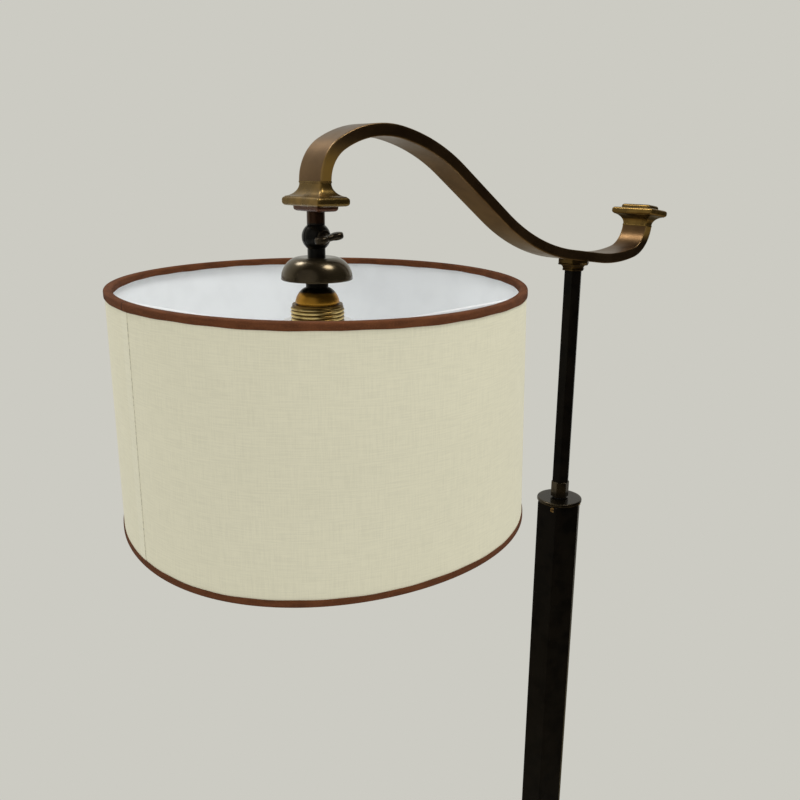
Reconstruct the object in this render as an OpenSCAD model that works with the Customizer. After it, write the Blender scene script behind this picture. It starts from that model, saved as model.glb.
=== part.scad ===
// Bridge floor lamp. A round weighted foot carries a hexagonal column, and a slim hexagonal rod
// turns on the column's cap. The rod holds a flat bar bent in an S: one end rises to a stepped
// finial, the other arches out and over and hangs a drum shade from a ball knuckle.
// Origin: on the floor, on the column's axis. +Z up, the shade reaches towards -X, front is -Y.

/* [Foot] */
// Diameter of the round foot
foot_d = 270; // [230:1:330]
// Height of the foot's lower tier
foot_tier_h = 16; // [15:0.5:22]
// Height of the foot's upper tier
foot_crown_h = 10; // [8:0.5:16]
// Width of the step between the tiers
foot_step_w = 14; // [8:0.5:24]
// Radius of the tiers' rounded edges
foot_edge_r = 4; // [2.5:0.5:5]
// Thickness of the spun skin over the weight
foot_skin_t = 1.5; // [0.8:0.1:2]
// Thickness of the felt pad
felt_t = 2; // [1:0.5:4]
// Distance from the foot's edge to the felt's edge
felt_inset = 2; // [1:0.5:8]
// Diameter of the recess for the nut under the weight
foot_recess_d = 44; // [38:1:60]
// Depth of that recess
foot_recess_h = 17; // [15:0.5:18]
// Width of the channel for the lead under the weight
lead_channel_w = 12; // [11:0.5:16]
// Height of the channel for the lead under the weight
lead_channel_h = 12; // [11.5:0.5:13.5]

/* [Cord inlet] */
// Bore of the cord inlet's bush
inlet_bore_d = 7; // [5:0.5:8]
// Outside diameter of the bush
inlet_body_d = 9.6; // [9:0.1:10.5]
// Length of the bush behind its flange
inlet_len = 10; // [6:1:16]
// Diameter of the bush's flange
inlet_flange_d = 11; // [11:0.5:12]
// Thickness of the flange
inlet_flange_t = 1.5; // [1:0.5:3]

/* [Column] */
// Column across its flats
column_af = 41; // [36:0.5:48]
// Wall of the column
column_wall = 2; // [1.5:0.1:3]
// Length of the column
column_len = 1008; // [700:1:1300]
// Turn of the column's flats from the arm's line
column_turn = 4; // [0:1:30]
// Length of the plug in the column's foot
column_plug_len = 28; // [16:1:50]
// Outside diameter of the hollow bolt through the foot
foot_bolt_d = 16; // [14:0.5:18]
// Bore of the hollow bolt
foot_bolt_bore_d = 9; // [8:0.5:10]
// Diameter of the washer under the weight
foot_washer_d = 34; // [30:1:37]
// Thickness of the washer
foot_washer_t = 2; // [1:0.5:3]
// Nut across its flats
foot_nut_af = 24; // [22:0.5:27]
// Thickness of the nut
foot_nut_t = 7; // [5:0.5:7.5]
// Height of the moulding round the column's foot
plinth_h = 26; // [22:1:40]
// How far the moulding stands out at its foot
plinth_out = 15; // [12:0.5:20]
// How far the moulding stands out at its top
plinth_top_out = 3; // [2:0.5:6]
// Height of the moulding's lower band
plinth_band_h = 7; // [4:0.5:9]
// Radius of the lower band's rounded edges
plinth_edge_r = 2; // [0.5:0.1:2]
// Radius of the upper band's rounded edges
plinth_top_edge_r = 1; // [0.3:0.1:1.4]

/* [Column cap] */
// Diameter of the cap disc
cap_d = 45.5; // [44:0.5:56]
// Thickness of the cap disc
cap_t = 3.5; // [2.5:0.5:6]
// Radius of the disc's rounded edge
cap_edge_r = 1; // [0.3:0.1:1.2]
// Length of the cap's spigot in the column
cap_spigot_len = 20; // [14:1:40]
// Diameter of the cap's three set screws
cap_screw_d = 5; // [4:0.5:6]
// Length of a set screw
cap_screw_len = 7; // [5.5:0.5:9]
// How far the screws stand out
cap_screw_proud = 1.5; // [0.5:0.1:2]
// Depth of the screws' axes below the disc
cap_screw_drop = 3.4; // [3.2:0.2:8]
// Direction of the first set screw, from +X towards +Y
cap_screw_turn = 203; // [180:1:240]
// Width of the screws' slots
screw_slot_w = 1; // [0.6:0.1:1.4]
// Depth of the screws' slots
screw_slot_h = 1; // [0.5:0.1:1.4]

/* [Pivot and rod] */
// Outside diameter of the threaded tubes that join the pieces
nipple_d = 10; // [9:0.5:11]
// Bore of those tubes
nipple_bore_d = 7; // [6:0.2:7.4]
// Depth of a threaded tube in the rod
rod_thread_len = 14; // [8:1:30]
// Thickness of the pivot's nut
pivot_nut_t = 5; // [3:0.5:8]
// Nut across its flats
pivot_nut_af = 15; // [14:0.5:20]
// Thickness of the pivot's spring washer
pivot_washer_t = 1.2; // [0.6:0.1:2]
// Diameter of the pivot's spring washer
pivot_washer_d = 18; // [15:0.5:22]
// Height of the dark spacer between cap and ferrule
spacer_t = 1.2; // [0.6:0.1:3]
// Diameter of the spacer
spacer_d = 13.6; // [12:0.2:15]
// Height of the ferrule
ferrule_h = 16.8; // [8:0.1:25]
// Ferrule across its flats
ferrule_af = 15.8; // [14:0.1:20]
// Turn of the ferrule's flats from the arm's line
ferrule_turn = 48; // [0:1:59]
// Rod across its flats
rod_af = 15.4; // [13.5:0.1:18]
// Length of the rod
rod_len = 216; // [120:0.5:320]
// Turn of the rod's flats from the arm's line
rod_turn = 4; // [0:1:30]

/* [Collar under the arm] */
// Height of the moulded collar
collar_h = 7.3; // [7:0.1:16]
// Collar across its flats at the top band
collar_af = 27.8; // [25:0.1:28.6]
// Collar across its flats at the foot
collar_foot_af = 19.6; // [17.5:0.1:21]
// Height of the collar's top band
collar_band_h = 1.8; // [1.7:0.1:4]
// Radius of the band's rounded edge
collar_edge_r = 0.8; // [0.3:0.1:0.8]
// Height of the collar's foot band
collar_foot_h = 2; // [1.4:0.1:3]

/* [Arm] */
// Distance from the column's axis to the lamp's axis
arm_reach = 297; // [270:1:380]
// Width of the bar
bar_w = 29; // [26:0.5:34]
// Thickness of the bar
bar_t = 9.4; // [9:0.1:12]
// Boss under the bar across its flats
arm_boss_af = 25; // [20:0.5:25]
// Wall of the bar round its wire channel
bar_wall = 2.2; // [1.6:0.1:2.2]
// Slope of the bar where it crosses the column
seat_slope = 7.5; // [3:0.5:12]
// Straight stretch on the lamp's side of the column
seat_lamp_len = 19; // [14:0.5:40]
// Straight stretch on the finial's side of the column
seat_finial_len = 23.6; // [16:0.5:40]
// Slope of the straight stretch between the two curves
arm_slope = 36; // [30:0.5:42]
// Radius of the hollow curve above the column
hollow_r = 200; // [140:1:240]
// Turn of the arch's easy part
crest_turn = 24.5; // [15:0.5:30]
// Radius of the arch's easy part
crest_r = 160; // [110:1:200]
// Turn of the arch's middle part
crown_turn = 41; // [30:0.5:45]
// Radius of the arch's middle part
crown_r = 80; // [60:1:95]
// Radius of the last bend, down to the lamp
drop_r = 30; // [26:1:44]
// Radius of the easy part of the finial's curl
curl_easy_r = 150; // [90:1:220]
// Turn of the easy part of the finial's curl
curl_easy_turn = 20; // [10:0.5:30]
// Radius of the tight part of the finial's curl
curl_r = 29; // [24:1:45]
// Lean of the finial, outwards from upright
finial_lean = 8; // [0:0.5:15]

/* [Stepped ends of the arm] */
// Length of the casting's neck
end_neck_len = 1.6; // [1:0.1:8]
// Radius of the hollow flare
end_flare_r = 9.4; // [6:0.1:12]
// Thickness of the plate
end_plate_t = 6.5; // [5.4:0.1:8]
// Radius of the plate's rounded edge
end_plate_edge_r = 2.5; // [0.8:0.1:2.6]
// Thickness of the step under the plate
end_step_t = 3.9; // [3:0.1:7]
// Width of the step along the bar's width
end_step_w = 31; // [28:0.5:36]
// Width of the step along the bar's thickness
end_step_d = 17.4; // [16:0.1:20]
// Radius of the step's rounded edge
end_step_edge_r = 1.3; // [0.6:0.1:1.4]

/* [Ball knuckle] */
// Diameter of the ball
ball_d = 21.2; // [19:0.1:26]
// Distance from the arm's end to the ball's centre
stem_drop = 18.2; // [16:0.1:30]
// Distance from the ball's centre to the bell
bell_drop = 14.4; // [13:0.1:22]
// Diameter of the two stems
stem_d = 13.2; // [12.5:0.1:15]
// Gap between the two half balls, which the washer fills
ball_gap = 0.8; // [0.6:0.1:2]
// Diameter of the knuckle's washer
ball_washer_d = 13; // [11:0.5:16]
// Bore for the lead through the knuckle
knuckle_bore_d = 7; // [6.5:0.1:7.4]
// Distance from the ball's centre to the flat under the wing screw
screw_flat = 9.2; // [8.4:0.1:9.4]
// Depth of the stem's thread in the arm's end
stem_thread_len = 11; // [8:0.5:14]
// Length of the lower stem's thread, through the bell into the lampholder
lower_thread_len = 11; // [8:0.5:15]

/* [Wing screw] */
// Diameter of the wing screw's shank
wing_shank_d = 4.9; // [4:0.1:6]
// Diameter of its boss
wing_boss_d = 11; // [8:0.1:12]
// Length of its boss
wing_boss_len = 2.6; // [1.5:0.1:5]
// Diameter of its neck
wing_neck_d = 6.6; // [5:0.1:8]
// Length of its neck
wing_neck_len = 0.6; // [0.3:0.1:6]
// Diameter of each wing
wing_leaf_d = 10; // [7:0.2:14]
// Distance between the wings' centres
wing_spread = 13.6; // [9:0.2:20]
// Height of the waist between the wings
wing_waist_h = 6; // [4:0.2:8]
// Thickness of the wings
wing_leaf_t = 5; // [2.4:0.1:6]
// Turn of the wings from level
wing_turn = 10; // [0:1:45]

/* [Bell and lampholder] */
// Diameter of the bell at its mouth
bell_d = 53; // [48:0.5:64]
// Height of the bell
bell_h = 16.5; // [12:0.2:26]
// Diameter of the bell's flat top
bell_flat_d = 24.6; // [18:0.2:30]
// Wall of the bell
bell_wall = 1.2; // [0.8:0.1:2]
// Diameter of the lampholder's neck
neck_d = 16.6; // [15:0.2:19]
// Length of the neck
neck_len = 20; // [16:0.1:30]
// Diameter of the lampholder's dome
dome_d = 32.4; // [29:0.2:35]
// Height of the dome's curve
dome_h = 9.4; // [7:0.2:14]
// Height of the straight rim under it
dome_rim_h = 4; // [2:0.2:6]
// Wall of the dome
dome_wall = 1.4; // [1:0.1:2]
// Outside diameter of the threaded skirt
skirt_d = 40; // [38:0.2:42]
// Length of the threaded skirt
skirt_len = 35; // [33:0.5:45]
// Wall of the skirt under its thread
skirt_wall = 1.2; // [0.8:0.1:1.6]
// Pitch of the skirt's thread
skirt_pitch = 2.8; // [2:0.1:4]
// Depth of the skirt's thread
skirt_thread_h = 0.8; // [0.4:0.1:1]
// Width of the thread's crest
skirt_crest_w = 0.5; // [0.2:0.1:0.6]
// Slope of the thread's flanks
skirt_flank = 38; // [20:1:40]
// Plain length at each end of the skirt
skirt_plain_len = 1; // [0.5:0.1:2]
// Bore of the screw shell for the bulb
bulb_bore_d = 26.6; // [26.2:0.1:27.4]
// Wall of the screw shell
bulb_shell_wall = 0.5; // [0.3:0.1:0.8]
// Depth of the screw shell
bulb_shell_len = 18; // [16:0.5:20]
// Distance from the skirt's mouth to the screw shell
bulb_shell_inset = 2; // [0.5:0.5:4]
// Room above the screw shell for the centre contact
contact_room = 3.5; // [3:0.1:4]
// Length of the contact's tongue
contact_len = 9; // [7:0.5:12]
// Width of the contact
contact_w = 5; // [3:0.5:8]
// Thickness of the contact
contact_t = 0.8; // [0.5:0.1:1.2]
// Thickness of the ceramic core's crown
core_crown_t = 8; // [5:0.5:9]

/* [Shade] */
// Diameter of the shade at its top
shade_d = 304.8; // [260:0.2:330]
// How much wider the shade is at its foot
shade_flare = 2.8; // [0:0.2:30]
// Height of the shade
shade_h = 181.2; // [140:0.2:260]
// Distance from the bell's mouth down to the shade's top edge
shade_drop = 2.2; // [0:0.1:8]
// Thickness of the fabric cover
cover_t = 0.8; // [0.5:0.1:1.5]
// Thickness of the white liner
liner_t = 0.5; // [0.3:0.1:1]
// Height of the edge binding, outside and inside
binding_h = 4.6; // [4.5:0.1:14]
// Thickness of the edge binding
binding_t = 0.7; // [0.4:0.1:1.2]
// Diameter of the wire rings under the bindings
shade_wire_d = 3.2; // [2.5:0.1:4]
// Diameter of the fitter's arms
fitter_arm_d = 3.6; // [3:0.1:5]
// Number of the fitter's arms
fitter_arms = 3; // [3:1:4]
// Direction of the first fitter arm, from +X towards +Y
fitter_turn = 57; // [50:1:65]
// Diameter of the fitter's hub plate
fitter_hub_d = 60; // [57:0.5:70]
// Thickness of the hub plate
fitter_hub_t = 2; // [1.5:0.1:3]
// Distance from the skirt's top to the upper shade ring
shade_ring_drop = 13; // [7:0.5:15]
// Diameter of the shade rings
shade_ring_d = 53; // [50:0.5:55]
// Thickness of the upper shade ring
upper_ring_t = 4; // [3:0.5:6]
// Thickness of the lower shade ring
lower_ring_t = 7; // [4:0.5:8]

/* [Inner lead] */
// Width of the flat twin lead inside the lamp
lead_w = 5.6; // [3.6:0.1:5.8]
// Thickness of the lead
lead_t = 2.8; // [1.8:0.1:3]
// Radius of the lead's bend in the foot
lead_bend_r = 6; // [5:0.5:7]
// Radius of the lead's bend into the arm
lead_elbow_r = 3; // [2.6:0.1:3.4]

/* [Hidden] */

// Clearances: between pieces that seat in each other, in a thread, and where a shaft turns
seat_gap = 0.1;
thread_gap = 0.05;
turn_gap = 0.06;
// Free space left where two soft, faceted or moving faces would meet
free_gap = 0.3;
// How far a cut runs past the face it opens
past = 1;
// Facets of round pieces, of small ones and of wires, and degrees per facet of computed curves
$fn = 128;
fine_fn = 64;
wire_fn = 32;
curve_step = 7.5;
// Degrees per facet of the bar's bends
bend_step = 2;

// Levels, from the floor up
foot_z = felt_t;
foot_top = foot_z + foot_tier_h + foot_crown_h;
recess_top = foot_z + foot_recess_h;
foot_nut_z = recess_top - foot_washer_t - foot_nut_t;
inlet_z = foot_z + lead_channel_h / 2;
column_top = foot_top + column_len;
cap_top = column_top + cap_t;
ferrule_z = cap_top + spacer_t;
rod_z = ferrule_z + ferrule_h;
collar_z = rod_z + rod_len;
collar_top = collar_z + collar_h;
nipple_r = nipple_d / 2;
column_inner_af = column_af - 2 * column_wall;
cap_screw_z = column_top - cap_screw_drop;
pivot_nut_z = column_top - cap_spigot_len - pivot_washer_t - pivot_nut_t;
pivot_foot_z = pivot_nut_z - past;

// The bar's centre line, as steps of [radius, turn], or [0, length] where it is straight. Its
// places are [x, z, heading], and turns to the left are positive.
function step_end(p, s) =
    s[0] == 0 ? [p[0] + s[1] * cos(p[2]), p[1] + s[1] * sin(p[2]), p[2]]
    : let (k = sign(s[1]) * s[0], h = p[2] + s[1])
      [p[0] + k * (sin(h) - sin(p[2])), p[1] - k * (cos(h) - cos(p[2])), h];
function path_end(p, steps, i = 0) =
    i == len(steps) ? p : path_end(step_end(p, steps[i]), steps, i + 1);
// All the places along steps, with the bends divided evenly
function places(p, steps, i = 0) =
    i == len(steps) ? [p]
    : let (s = steps[i], n = s[0] == 0 ? 1 : ceil(abs(s[1]) / bend_step))
      concat([for (k = [0 : n - 1]) step_end(p, [s[0], s[1] * k / n])],
          places(step_end(p, s), steps, i + 1));
// A point beside a place, at right angles to its heading
function beside(p, d) = [p[0] - d * sin(p[2]), p[1] + d * cos(p[2])];

// The bar crosses the column above the collar's widest point, so that its slope clears the collar
seat_z = collar_top + collar_af / sqrt(3) * tan(seat_slope) + bar_t / 2 / cos(seat_slope);
seat_to_lamp = [0, seat_z, 180 - seat_slope];
drop_turn = 90 + arm_slope - crest_turn - crown_turn;
function lamp_steps(straight) = [
    [0, seat_lamp_len], [hollow_r, seat_slope - arm_slope], [0, straight],
    [crest_r, crest_turn], [crown_r, crown_turn], [drop_r, drop_turn]
];
// The straight stretch takes up what is left of the reach
arm_straight = (arm_reach + path_end(seat_to_lamp, lamp_steps(0))[0]) / cos(arm_slope);
curl_turn = 90 - finial_lean + seat_slope - curl_easy_turn;
lamp_end_at = path_end(seat_to_lamp, lamp_steps(arm_straight));
finial_at = path_end([0, seat_z, -seat_slope],
    [[0, seat_finial_len], [curl_easy_r, curl_easy_turn], [curl_r, curl_turn]]);
// The whole bar in one run, from the finial to the lamp
bar_start = [finial_at[0], finial_at[1], finial_at[2] + 180];
bar_steps = concat(
    [[curl_r, -curl_turn], [curl_easy_r, -curl_easy_turn], [0, seat_finial_len + seat_lamp_len]],
    [for (i = [1 : 5]) lamp_steps(arm_straight)[i]]
);
channel_w = bar_w - 2 * bar_wall;
channel_t = bar_t - 2 * bar_wall;
arm_nipple_top = seat_z - channel_t / 2 - 2 * free_gap;

// Levels of the lamp's head, downwards
arm_end_z = lamp_end_at[1];
end_plate_at = end_neck_len + end_flare_r;
end_step_at = end_plate_at + end_plate_t;
stem_top = arm_end_z - end_step_at - end_step_t;
ball_z = stem_top - stem_drop;
ball_r = ball_d / 2;
bell_top = ball_z - bell_drop;
bell_mouth = bell_top - bell_h;
neck_top = bell_top - bell_wall;
dome_top = neck_top - neck_len;
skirt_top = dome_top - dome_h - dome_rim_h;
skirt_mouth = skirt_top - skirt_len;
skirt_root_r = skirt_d / 2 - skirt_thread_h;
skirt_inner_r = skirt_root_r - skirt_wall;
bulb_shell_z = skirt_mouth + bulb_shell_inset;
bulb_shell_top = bulb_shell_z + bulb_shell_len;
contact_top = bulb_shell_top + contact_room;
core_top = contact_top + core_crown_t;
upper_ring_z = skirt_top - shade_ring_drop - upper_ring_t;
hub_z = upper_ring_z - fitter_hub_t;
lower_ring_z = hub_z - lower_ring_t;

// The shade: its outside radius at a level, and the levels of its edges and wires
shade_top_z = bell_mouth - shade_drop;
shade_foot_z = shade_top_z - shade_h;
function shade_r(z) = shade_d / 2 + shade_flare / 2 * (shade_top_z - z) / shade_h;
wire_r = shade_wire_d / 2;
shade_wall_t = cover_t + liner_t;
// The bindings fold over the wall and the wire, with the wire a seat gap from both
function wire_ring_r(z) = shade_r(z) - shade_wall_t - seat_gap - wire_r;
wire_top_z = shade_top_z - seat_gap - wire_r;
wire_foot_z = shade_foot_z + seat_gap + wire_r;
rim_t = shade_wall_t + shade_wire_d + 2 * seat_gap;

// Colours
bronze = [0.27, 0.20, 0.14];
dark_bronze = [0.12, 0.10, 0.08];
worn_brass = [0.50, 0.37, 0.18];
brass = [0.72, 0.55, 0.24];
steel = [0.62, 0.62, 0.64];
white = [0.93, 0.94, 0.96];
tape = [0.38, 0.26, 0.18];

// A hexagonal prism on z, with a flat facing +X before its turn
module hexagon(af, h, turn = 0) {
    rotate([0, 0, 30 + turn]) cylinder(d = af * 2 / sqrt(3), h = h, $fn = 6);
}

// A round bar on z that runs from one level to another
module round_bar(d, z0, z1) {
    translate([0, 0, z0]) cylinder(d = d, h = z1 - z0, $fn = fine_fn);
}

// A band of a moulding's outline: half its width, its levels, and the radius of its nosing
module band(half, z0, z1, r) {
    translate([-half, z0 + r]) square([2 * half, z1 - z0 - 2 * r]);
    translate([r - half, z0]) square([2 * (half - r), z1 - z0]);
    for (side = [-1, 1], z = [z0 + r, z1 - r]) {
        translate([side * (half - r), z]) circle(r = r, $fn = fine_fn);
    }
}

// A hollow quarter round in an outline, from half the width at its neck out to its full radius.
// The neck is at level 0, and it widens upwards.
module cove(half, r) {
    difference() {
        translate([-half - r, 0]) square([2 * (half + r), r]);
        for (side = [-1, 1]) translate([side * (half + r), 0]) circle(r = r, $fn = fine_fn);
    }
}

// A mitred hexagonal moulding: its outline, given from the middle of a flat, on all three pairs
module hex_moulding(turn) {
    intersection_for (k = [0 : 2]) {
        rotate([90, 0, turn + 60 * k]) linear_extrude(4 * plinth_out + 2 * column_af, center = true)
            children();
    }
}

// A mitred rectangular moulding: child 0 is its outline across X, child 1 its outline across Y
module box_moulding(len_y, len_x) {
    intersection() {
        rotate([90, 0, 0]) linear_extrude(len_y, center = true) children(0);
        rotate([90, 0, 90]) linear_extrude(len_x, center = true) children(1);
    }
}

// A strap bent along steps in the arm's upright plane, with its width across that plane
module strap(p, steps, t, w) {
    at = places(p, steps);
    last = len(at) - 1;
    rotate([90, 0, 0]) linear_extrude(w, center = true) polygon(concat(
        [for (q = at) beside(q, t / 2)],
        [for (k = [0 : last]) beside(at[last - k], -t / 2)]
    ));
}

// One tier of the foot's outline, drawn in by an inset
module tier(r, h, inset) {
    edge = max(foot_edge_r - inset, seat_gap);
    square([r - inset - edge, h - inset]);
    square([r - inset, h - inset - edge]);
    translate([r - inset - edge, h - inset - edge]) circle(r = edge, $fn = fine_fn);
}

module foot_outline(inset) {
    tier(foot_d / 2, foot_tier_h, inset);
    tier(foot_d / 2 - foot_step_w, foot_tier_h + foot_crown_h, inset);
}

// Felt pad, with a hole under the nut
module felt_pad() {
    color("darkolivegreen") difference() {
        cylinder(d = foot_d - 2 * felt_inset, h = felt_t);
        translate([0, 0, -past]) cylinder(d = foot_recess_d, h = felt_t + 2 * past);
    }
}

// Cast iron weight, recessed for the nut and channelled for the lead
module foot_weight() {
    color([0.2, 0.2, 0.21]) difference() {
        translate([0, 0, foot_z]) rotate_extrude() foot_outline(foot_skin_t + free_gap);
        translate([0, 0, foot_z - past]) cylinder(d = foot_bolt_d + 2 * free_gap, h = foot_top);
        translate([0, 0, foot_z - past]) cylinder(d = foot_recess_d, h = foot_recess_h + past);
        translate([0, -lead_channel_w / 2, foot_z - past])
            cube([foot_d, lead_channel_w, lead_channel_h + past]);
    }
}

// Spun skin over the weight, holed for the bolt and the cord inlet
module foot_skin() {
    color(bronze) difference() {
        translate([0, 0, foot_z]) rotate_extrude() difference() {
            foot_outline(0);
            translate([0, -past]) square([foot_d, past]);
            foot_outline(foot_skin_t);
        }
        round_bar(foot_bolt_d + 2 * seat_gap, foot_z, foot_top + past);
        translate([foot_d / 2 - inlet_len, 0, inlet_z]) rotate([0, 90, 0])
            cylinder(d = inlet_body_d + 2 * seat_gap, h = inlet_len + past, $fn = fine_fn);
    }
}

module foot_washer() {
    color(steel) difference() {
        round_bar(foot_washer_d, recess_top - foot_washer_t, recess_top);
        round_bar(foot_bolt_d + 2 * seat_gap, foot_z, foot_top);
    }
}

module foot_nut() {
    color(steel) difference() {
        translate([0, 0, foot_nut_z]) hexagon(foot_nut_af, foot_nut_t);
        round_bar(foot_bolt_d + 2 * thread_gap, foot_z, foot_top);
    }
}

// Hollow bolt from the nut up into the column's plug
module foot_bolt() {
    color(steel) difference() {
        round_bar(foot_bolt_d, foot_nut_z, foot_top + column_plug_len);
        round_bar(foot_bolt_bore_d, foot_z, foot_top + column_plug_len + past);
    }
}

// Bush of the cord inlet, in the foot's back
module cord_inlet() {
    color([0.1, 0.1, 0.1]) translate([foot_d / 2, 0, inlet_z]) rotate([0, 90, 0]) difference() {
        union() {
            translate([0, 0, -inlet_len]) cylinder(d = inlet_body_d, h = inlet_len, $fn = fine_fn);
            cylinder(d = inlet_flange_d, h = inlet_flange_t, $fn = fine_fn);
        }
        translate([0, 0, -inlet_len - past])
            cylinder(d = inlet_bore_d, h = inlet_len + inlet_flange_t + 2 * past, $fn = fine_fn);
    }
}

// Plug brazed in the column's foot
module column_plug() {
    color(brass) difference() {
        translate([0, 0, foot_top])
            hexagon(column_inner_af - 2 * thread_gap, column_plug_len, column_turn);
        round_bar(foot_bolt_d + 2 * thread_gap, foot_top - past, foot_top + column_plug_len + past);
    }
}

// Moulding round the column's foot
module column_plinth() {
    half = column_af / 2 + seat_gap;
    cove_r = plinth_out - plinth_top_out;
    color(worn_brass) translate([0, 0, foot_top]) difference() {
        hex_moulding(column_turn) {
            band(half + plinth_out, 0, plinth_band_h, plinth_edge_r);
            translate([0, plinth_band_h + cove_r]) mirror([0, 1]) cove(half + plinth_top_out, cove_r);
            band(half + plinth_top_out, plinth_band_h, plinth_h, plinth_top_edge_r);
            translate([0, plinth_band_h]) square([2 * half, 2 * past], center = true);
        }
        translate([0, 0, -past]) hexagon(2 * half, plinth_h + 2 * past, column_turn);
    }
}

// One set screw's place, drilled from outside towards the column's axis
module at_cap_screws() {
    for (k = [0 : 2]) {
        translate([0, 0, cap_screw_z]) rotate([0, 0, cap_screw_turn + 120 * k]) rotate([0, 90, 0])
            children();
    }
}

module column_tube() {
    color(dark_bronze) difference() {
        translate([0, 0, foot_top]) hexagon(column_af, column_len, column_turn);
        translate([0, 0, foot_top - past])
            hexagon(column_inner_af, column_len + 2 * past, column_turn);
        at_cap_screws() cylinder(d = cap_screw_d + 2 * thread_gap, h = column_af, $fn = fine_fn);
    }
}

// Cap disc with its spigot, bored for the pivot and tapped for the set screws
module column_cap() {
    color(worn_brass) difference() {
        union() {
            translate([0, 0, column_top]) rotate_extrude() intersection() {
                band(cap_d / 2, 0, cap_t, cap_edge_r);
                square([cap_d, cap_t]);
            }
            translate([0, 0, column_top - cap_spigot_len])
                hexagon(column_inner_af - 2 * seat_gap, cap_spigot_len, column_turn);
        }
        round_bar(nipple_d + 2 * turn_gap, column_top - cap_spigot_len - past, cap_top + past);
        at_cap_screws() translate([0, 0, column_af / 2 - cap_screw_len])
            cylinder(d = cap_screw_d + 2 * thread_gap, h = column_af, $fn = fine_fn);
    }
}

// Three slotted set screws that hold the cap in the column
module cap_screws() {
    len = cap_screw_len + cap_screw_proud;
    color(brass) at_cap_screws() translate([0, 0, column_af / 2 - cap_screw_len + seat_gap])
        difference() {
            cylinder(d = cap_screw_d, h = len, $fn = fine_fn);
            translate([0, 0, len])
                cube([screw_slot_w, cap_screw_d + past, 2 * screw_slot_h], center = true);
        }
}

// Lead from the cord inlet, along the foot's channel and up the column
module lead_column() {
    start_x = foot_d / 2 - inlet_len - free_gap;
    start_z = inlet_z;
    color("black") strap([start_x, start_z, 180], [
        [0, start_x - lead_bend_r],
        [lead_bend_r, -90],
        [0, pivot_foot_z - free_gap - start_z - lead_bend_r]
    ], lead_t, lead_w);
}

// Hollow pivot through the cap, the ferrule and the rod's foot
module pivot_nipple() {
    color(steel) difference() {
        round_bar(nipple_d, pivot_foot_z, rod_z + rod_thread_len);
        round_bar(nipple_bore_d, pivot_foot_z - past, rod_z + rod_thread_len + past);
    }
}

module pivot_washer() {
    color(steel) difference() {
        translate([0, 0, pivot_nut_z + pivot_nut_t])
            cylinder(d = pivot_washer_d, h = pivot_washer_t - thread_gap, $fn = fine_fn);
        round_bar(nipple_d + 2 * seat_gap, pivot_foot_z, cap_top);
    }
}

module pivot_nut() {
    color(steel) difference() {
        translate([0, 0, pivot_nut_z]) hexagon(pivot_nut_af, pivot_nut_t);
        round_bar(nipple_d + 2 * thread_gap, pivot_foot_z - past, cap_top);
    }
}

// Dark spacer that the rod turns on
module rod_spacer() {
    color("black") difference() {
        round_bar(spacer_d, cap_top + thread_gap, ferrule_z);
        round_bar(nipple_d + 2 * seat_gap, cap_top - past, ferrule_z + past);
    }
}

module rod_ferrule() {
    color(worn_brass) difference() {
        translate([0, 0, ferrule_z]) hexagon(ferrule_af, ferrule_h, ferrule_turn);
        round_bar(nipple_d + 2 * thread_gap, ferrule_z - past, rod_z + past);
    }
}

// Rod, tapped at both ends for the threaded tubes
module rod_tube() {
    color(dark_bronze) difference() {
        translate([0, 0, rod_z]) hexagon(rod_af, rod_len, rod_turn);
        round_bar(nipple_d + 2 * thread_gap, rod_z - past, rod_z + rod_thread_len + free_gap);
        round_bar(nipple_bore_d, rod_z, collar_z);
        round_bar(nipple_d + 2 * thread_gap, collar_z - rod_thread_len - free_gap, collar_z + past);
    }
}

// Moulded collar between the rod and the arm
module arm_collar() {
    half = collar_af / 2;
    foot_half = collar_foot_af / 2;
    cove_r = collar_h - collar_band_h - collar_foot_h;
    color(worn_brass) translate([0, 0, collar_z]) difference() {
        hex_moulding(rod_turn) {
            band(foot_half, 0, collar_foot_h, collar_edge_r);
            translate([0, collar_foot_h]) intersection() {
                cove(foot_half - collar_edge_r / 2, cove_r);
                translate([-half, 0]) square([2 * half, cove_r]);
            }
            band(half, collar_h - collar_band_h, collar_h, collar_edge_r);
            for (z = [collar_foot_h, collar_h - collar_band_h]) {
                translate([0, z]) square([foot_half, past], center = true);
            }
        }
        translate([0, 0, -past]) cylinder(d = nipple_d + 2 * thread_gap, h = collar_h + 2 * past);
    }
}

// Threaded tube from the rod through the collar into the arm
module arm_nipple() {
    color(steel) difference() {
        round_bar(nipple_d, collar_z - rod_thread_len, arm_nipple_top);
        round_bar(nipple_bore_d, collar_z - rod_thread_len - past, arm_nipple_top + past);
    }
}

// The arm's bar. Its channel runs from the column to the lamp, and a boss under it takes the thread
module arm_bar() {
    color(bronze) difference() {
        union() {
            strap(bar_start, bar_steps, bar_t, bar_w);
            translate([0, 0, collar_top]) hexagon(arm_boss_af, seat_z - collar_top, rod_turn);
        }
        strap(step_end(seat_to_lamp, [0, -nipple_r]),
            concat([[0, nipple_r]], lamp_steps(arm_straight), [[0, past]]), channel_t, channel_w);
        round_bar(nipple_d + 2 * thread_gap, collar_top - past, seat_z);
    }
}

// The casting at either end of the bar, from its neck at level 0 up to its plate
module end_casting() {
    box_moulding(3 * bar_w, 3 * bar_w) {
        end_outline(bar_t / 2);
        end_outline(bar_w / 2);
    }
}

module end_outline(half) {
    translate([-half, 0]) square([2 * half, end_neck_len + past]);
    translate([0, end_neck_len]) cove(half, end_flare_r);
    band(half + end_flare_r, end_plate_at, end_step_at, end_plate_edge_r);
    translate([0, end_plate_at]) square([2 * half, past], center = true);
}

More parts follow.
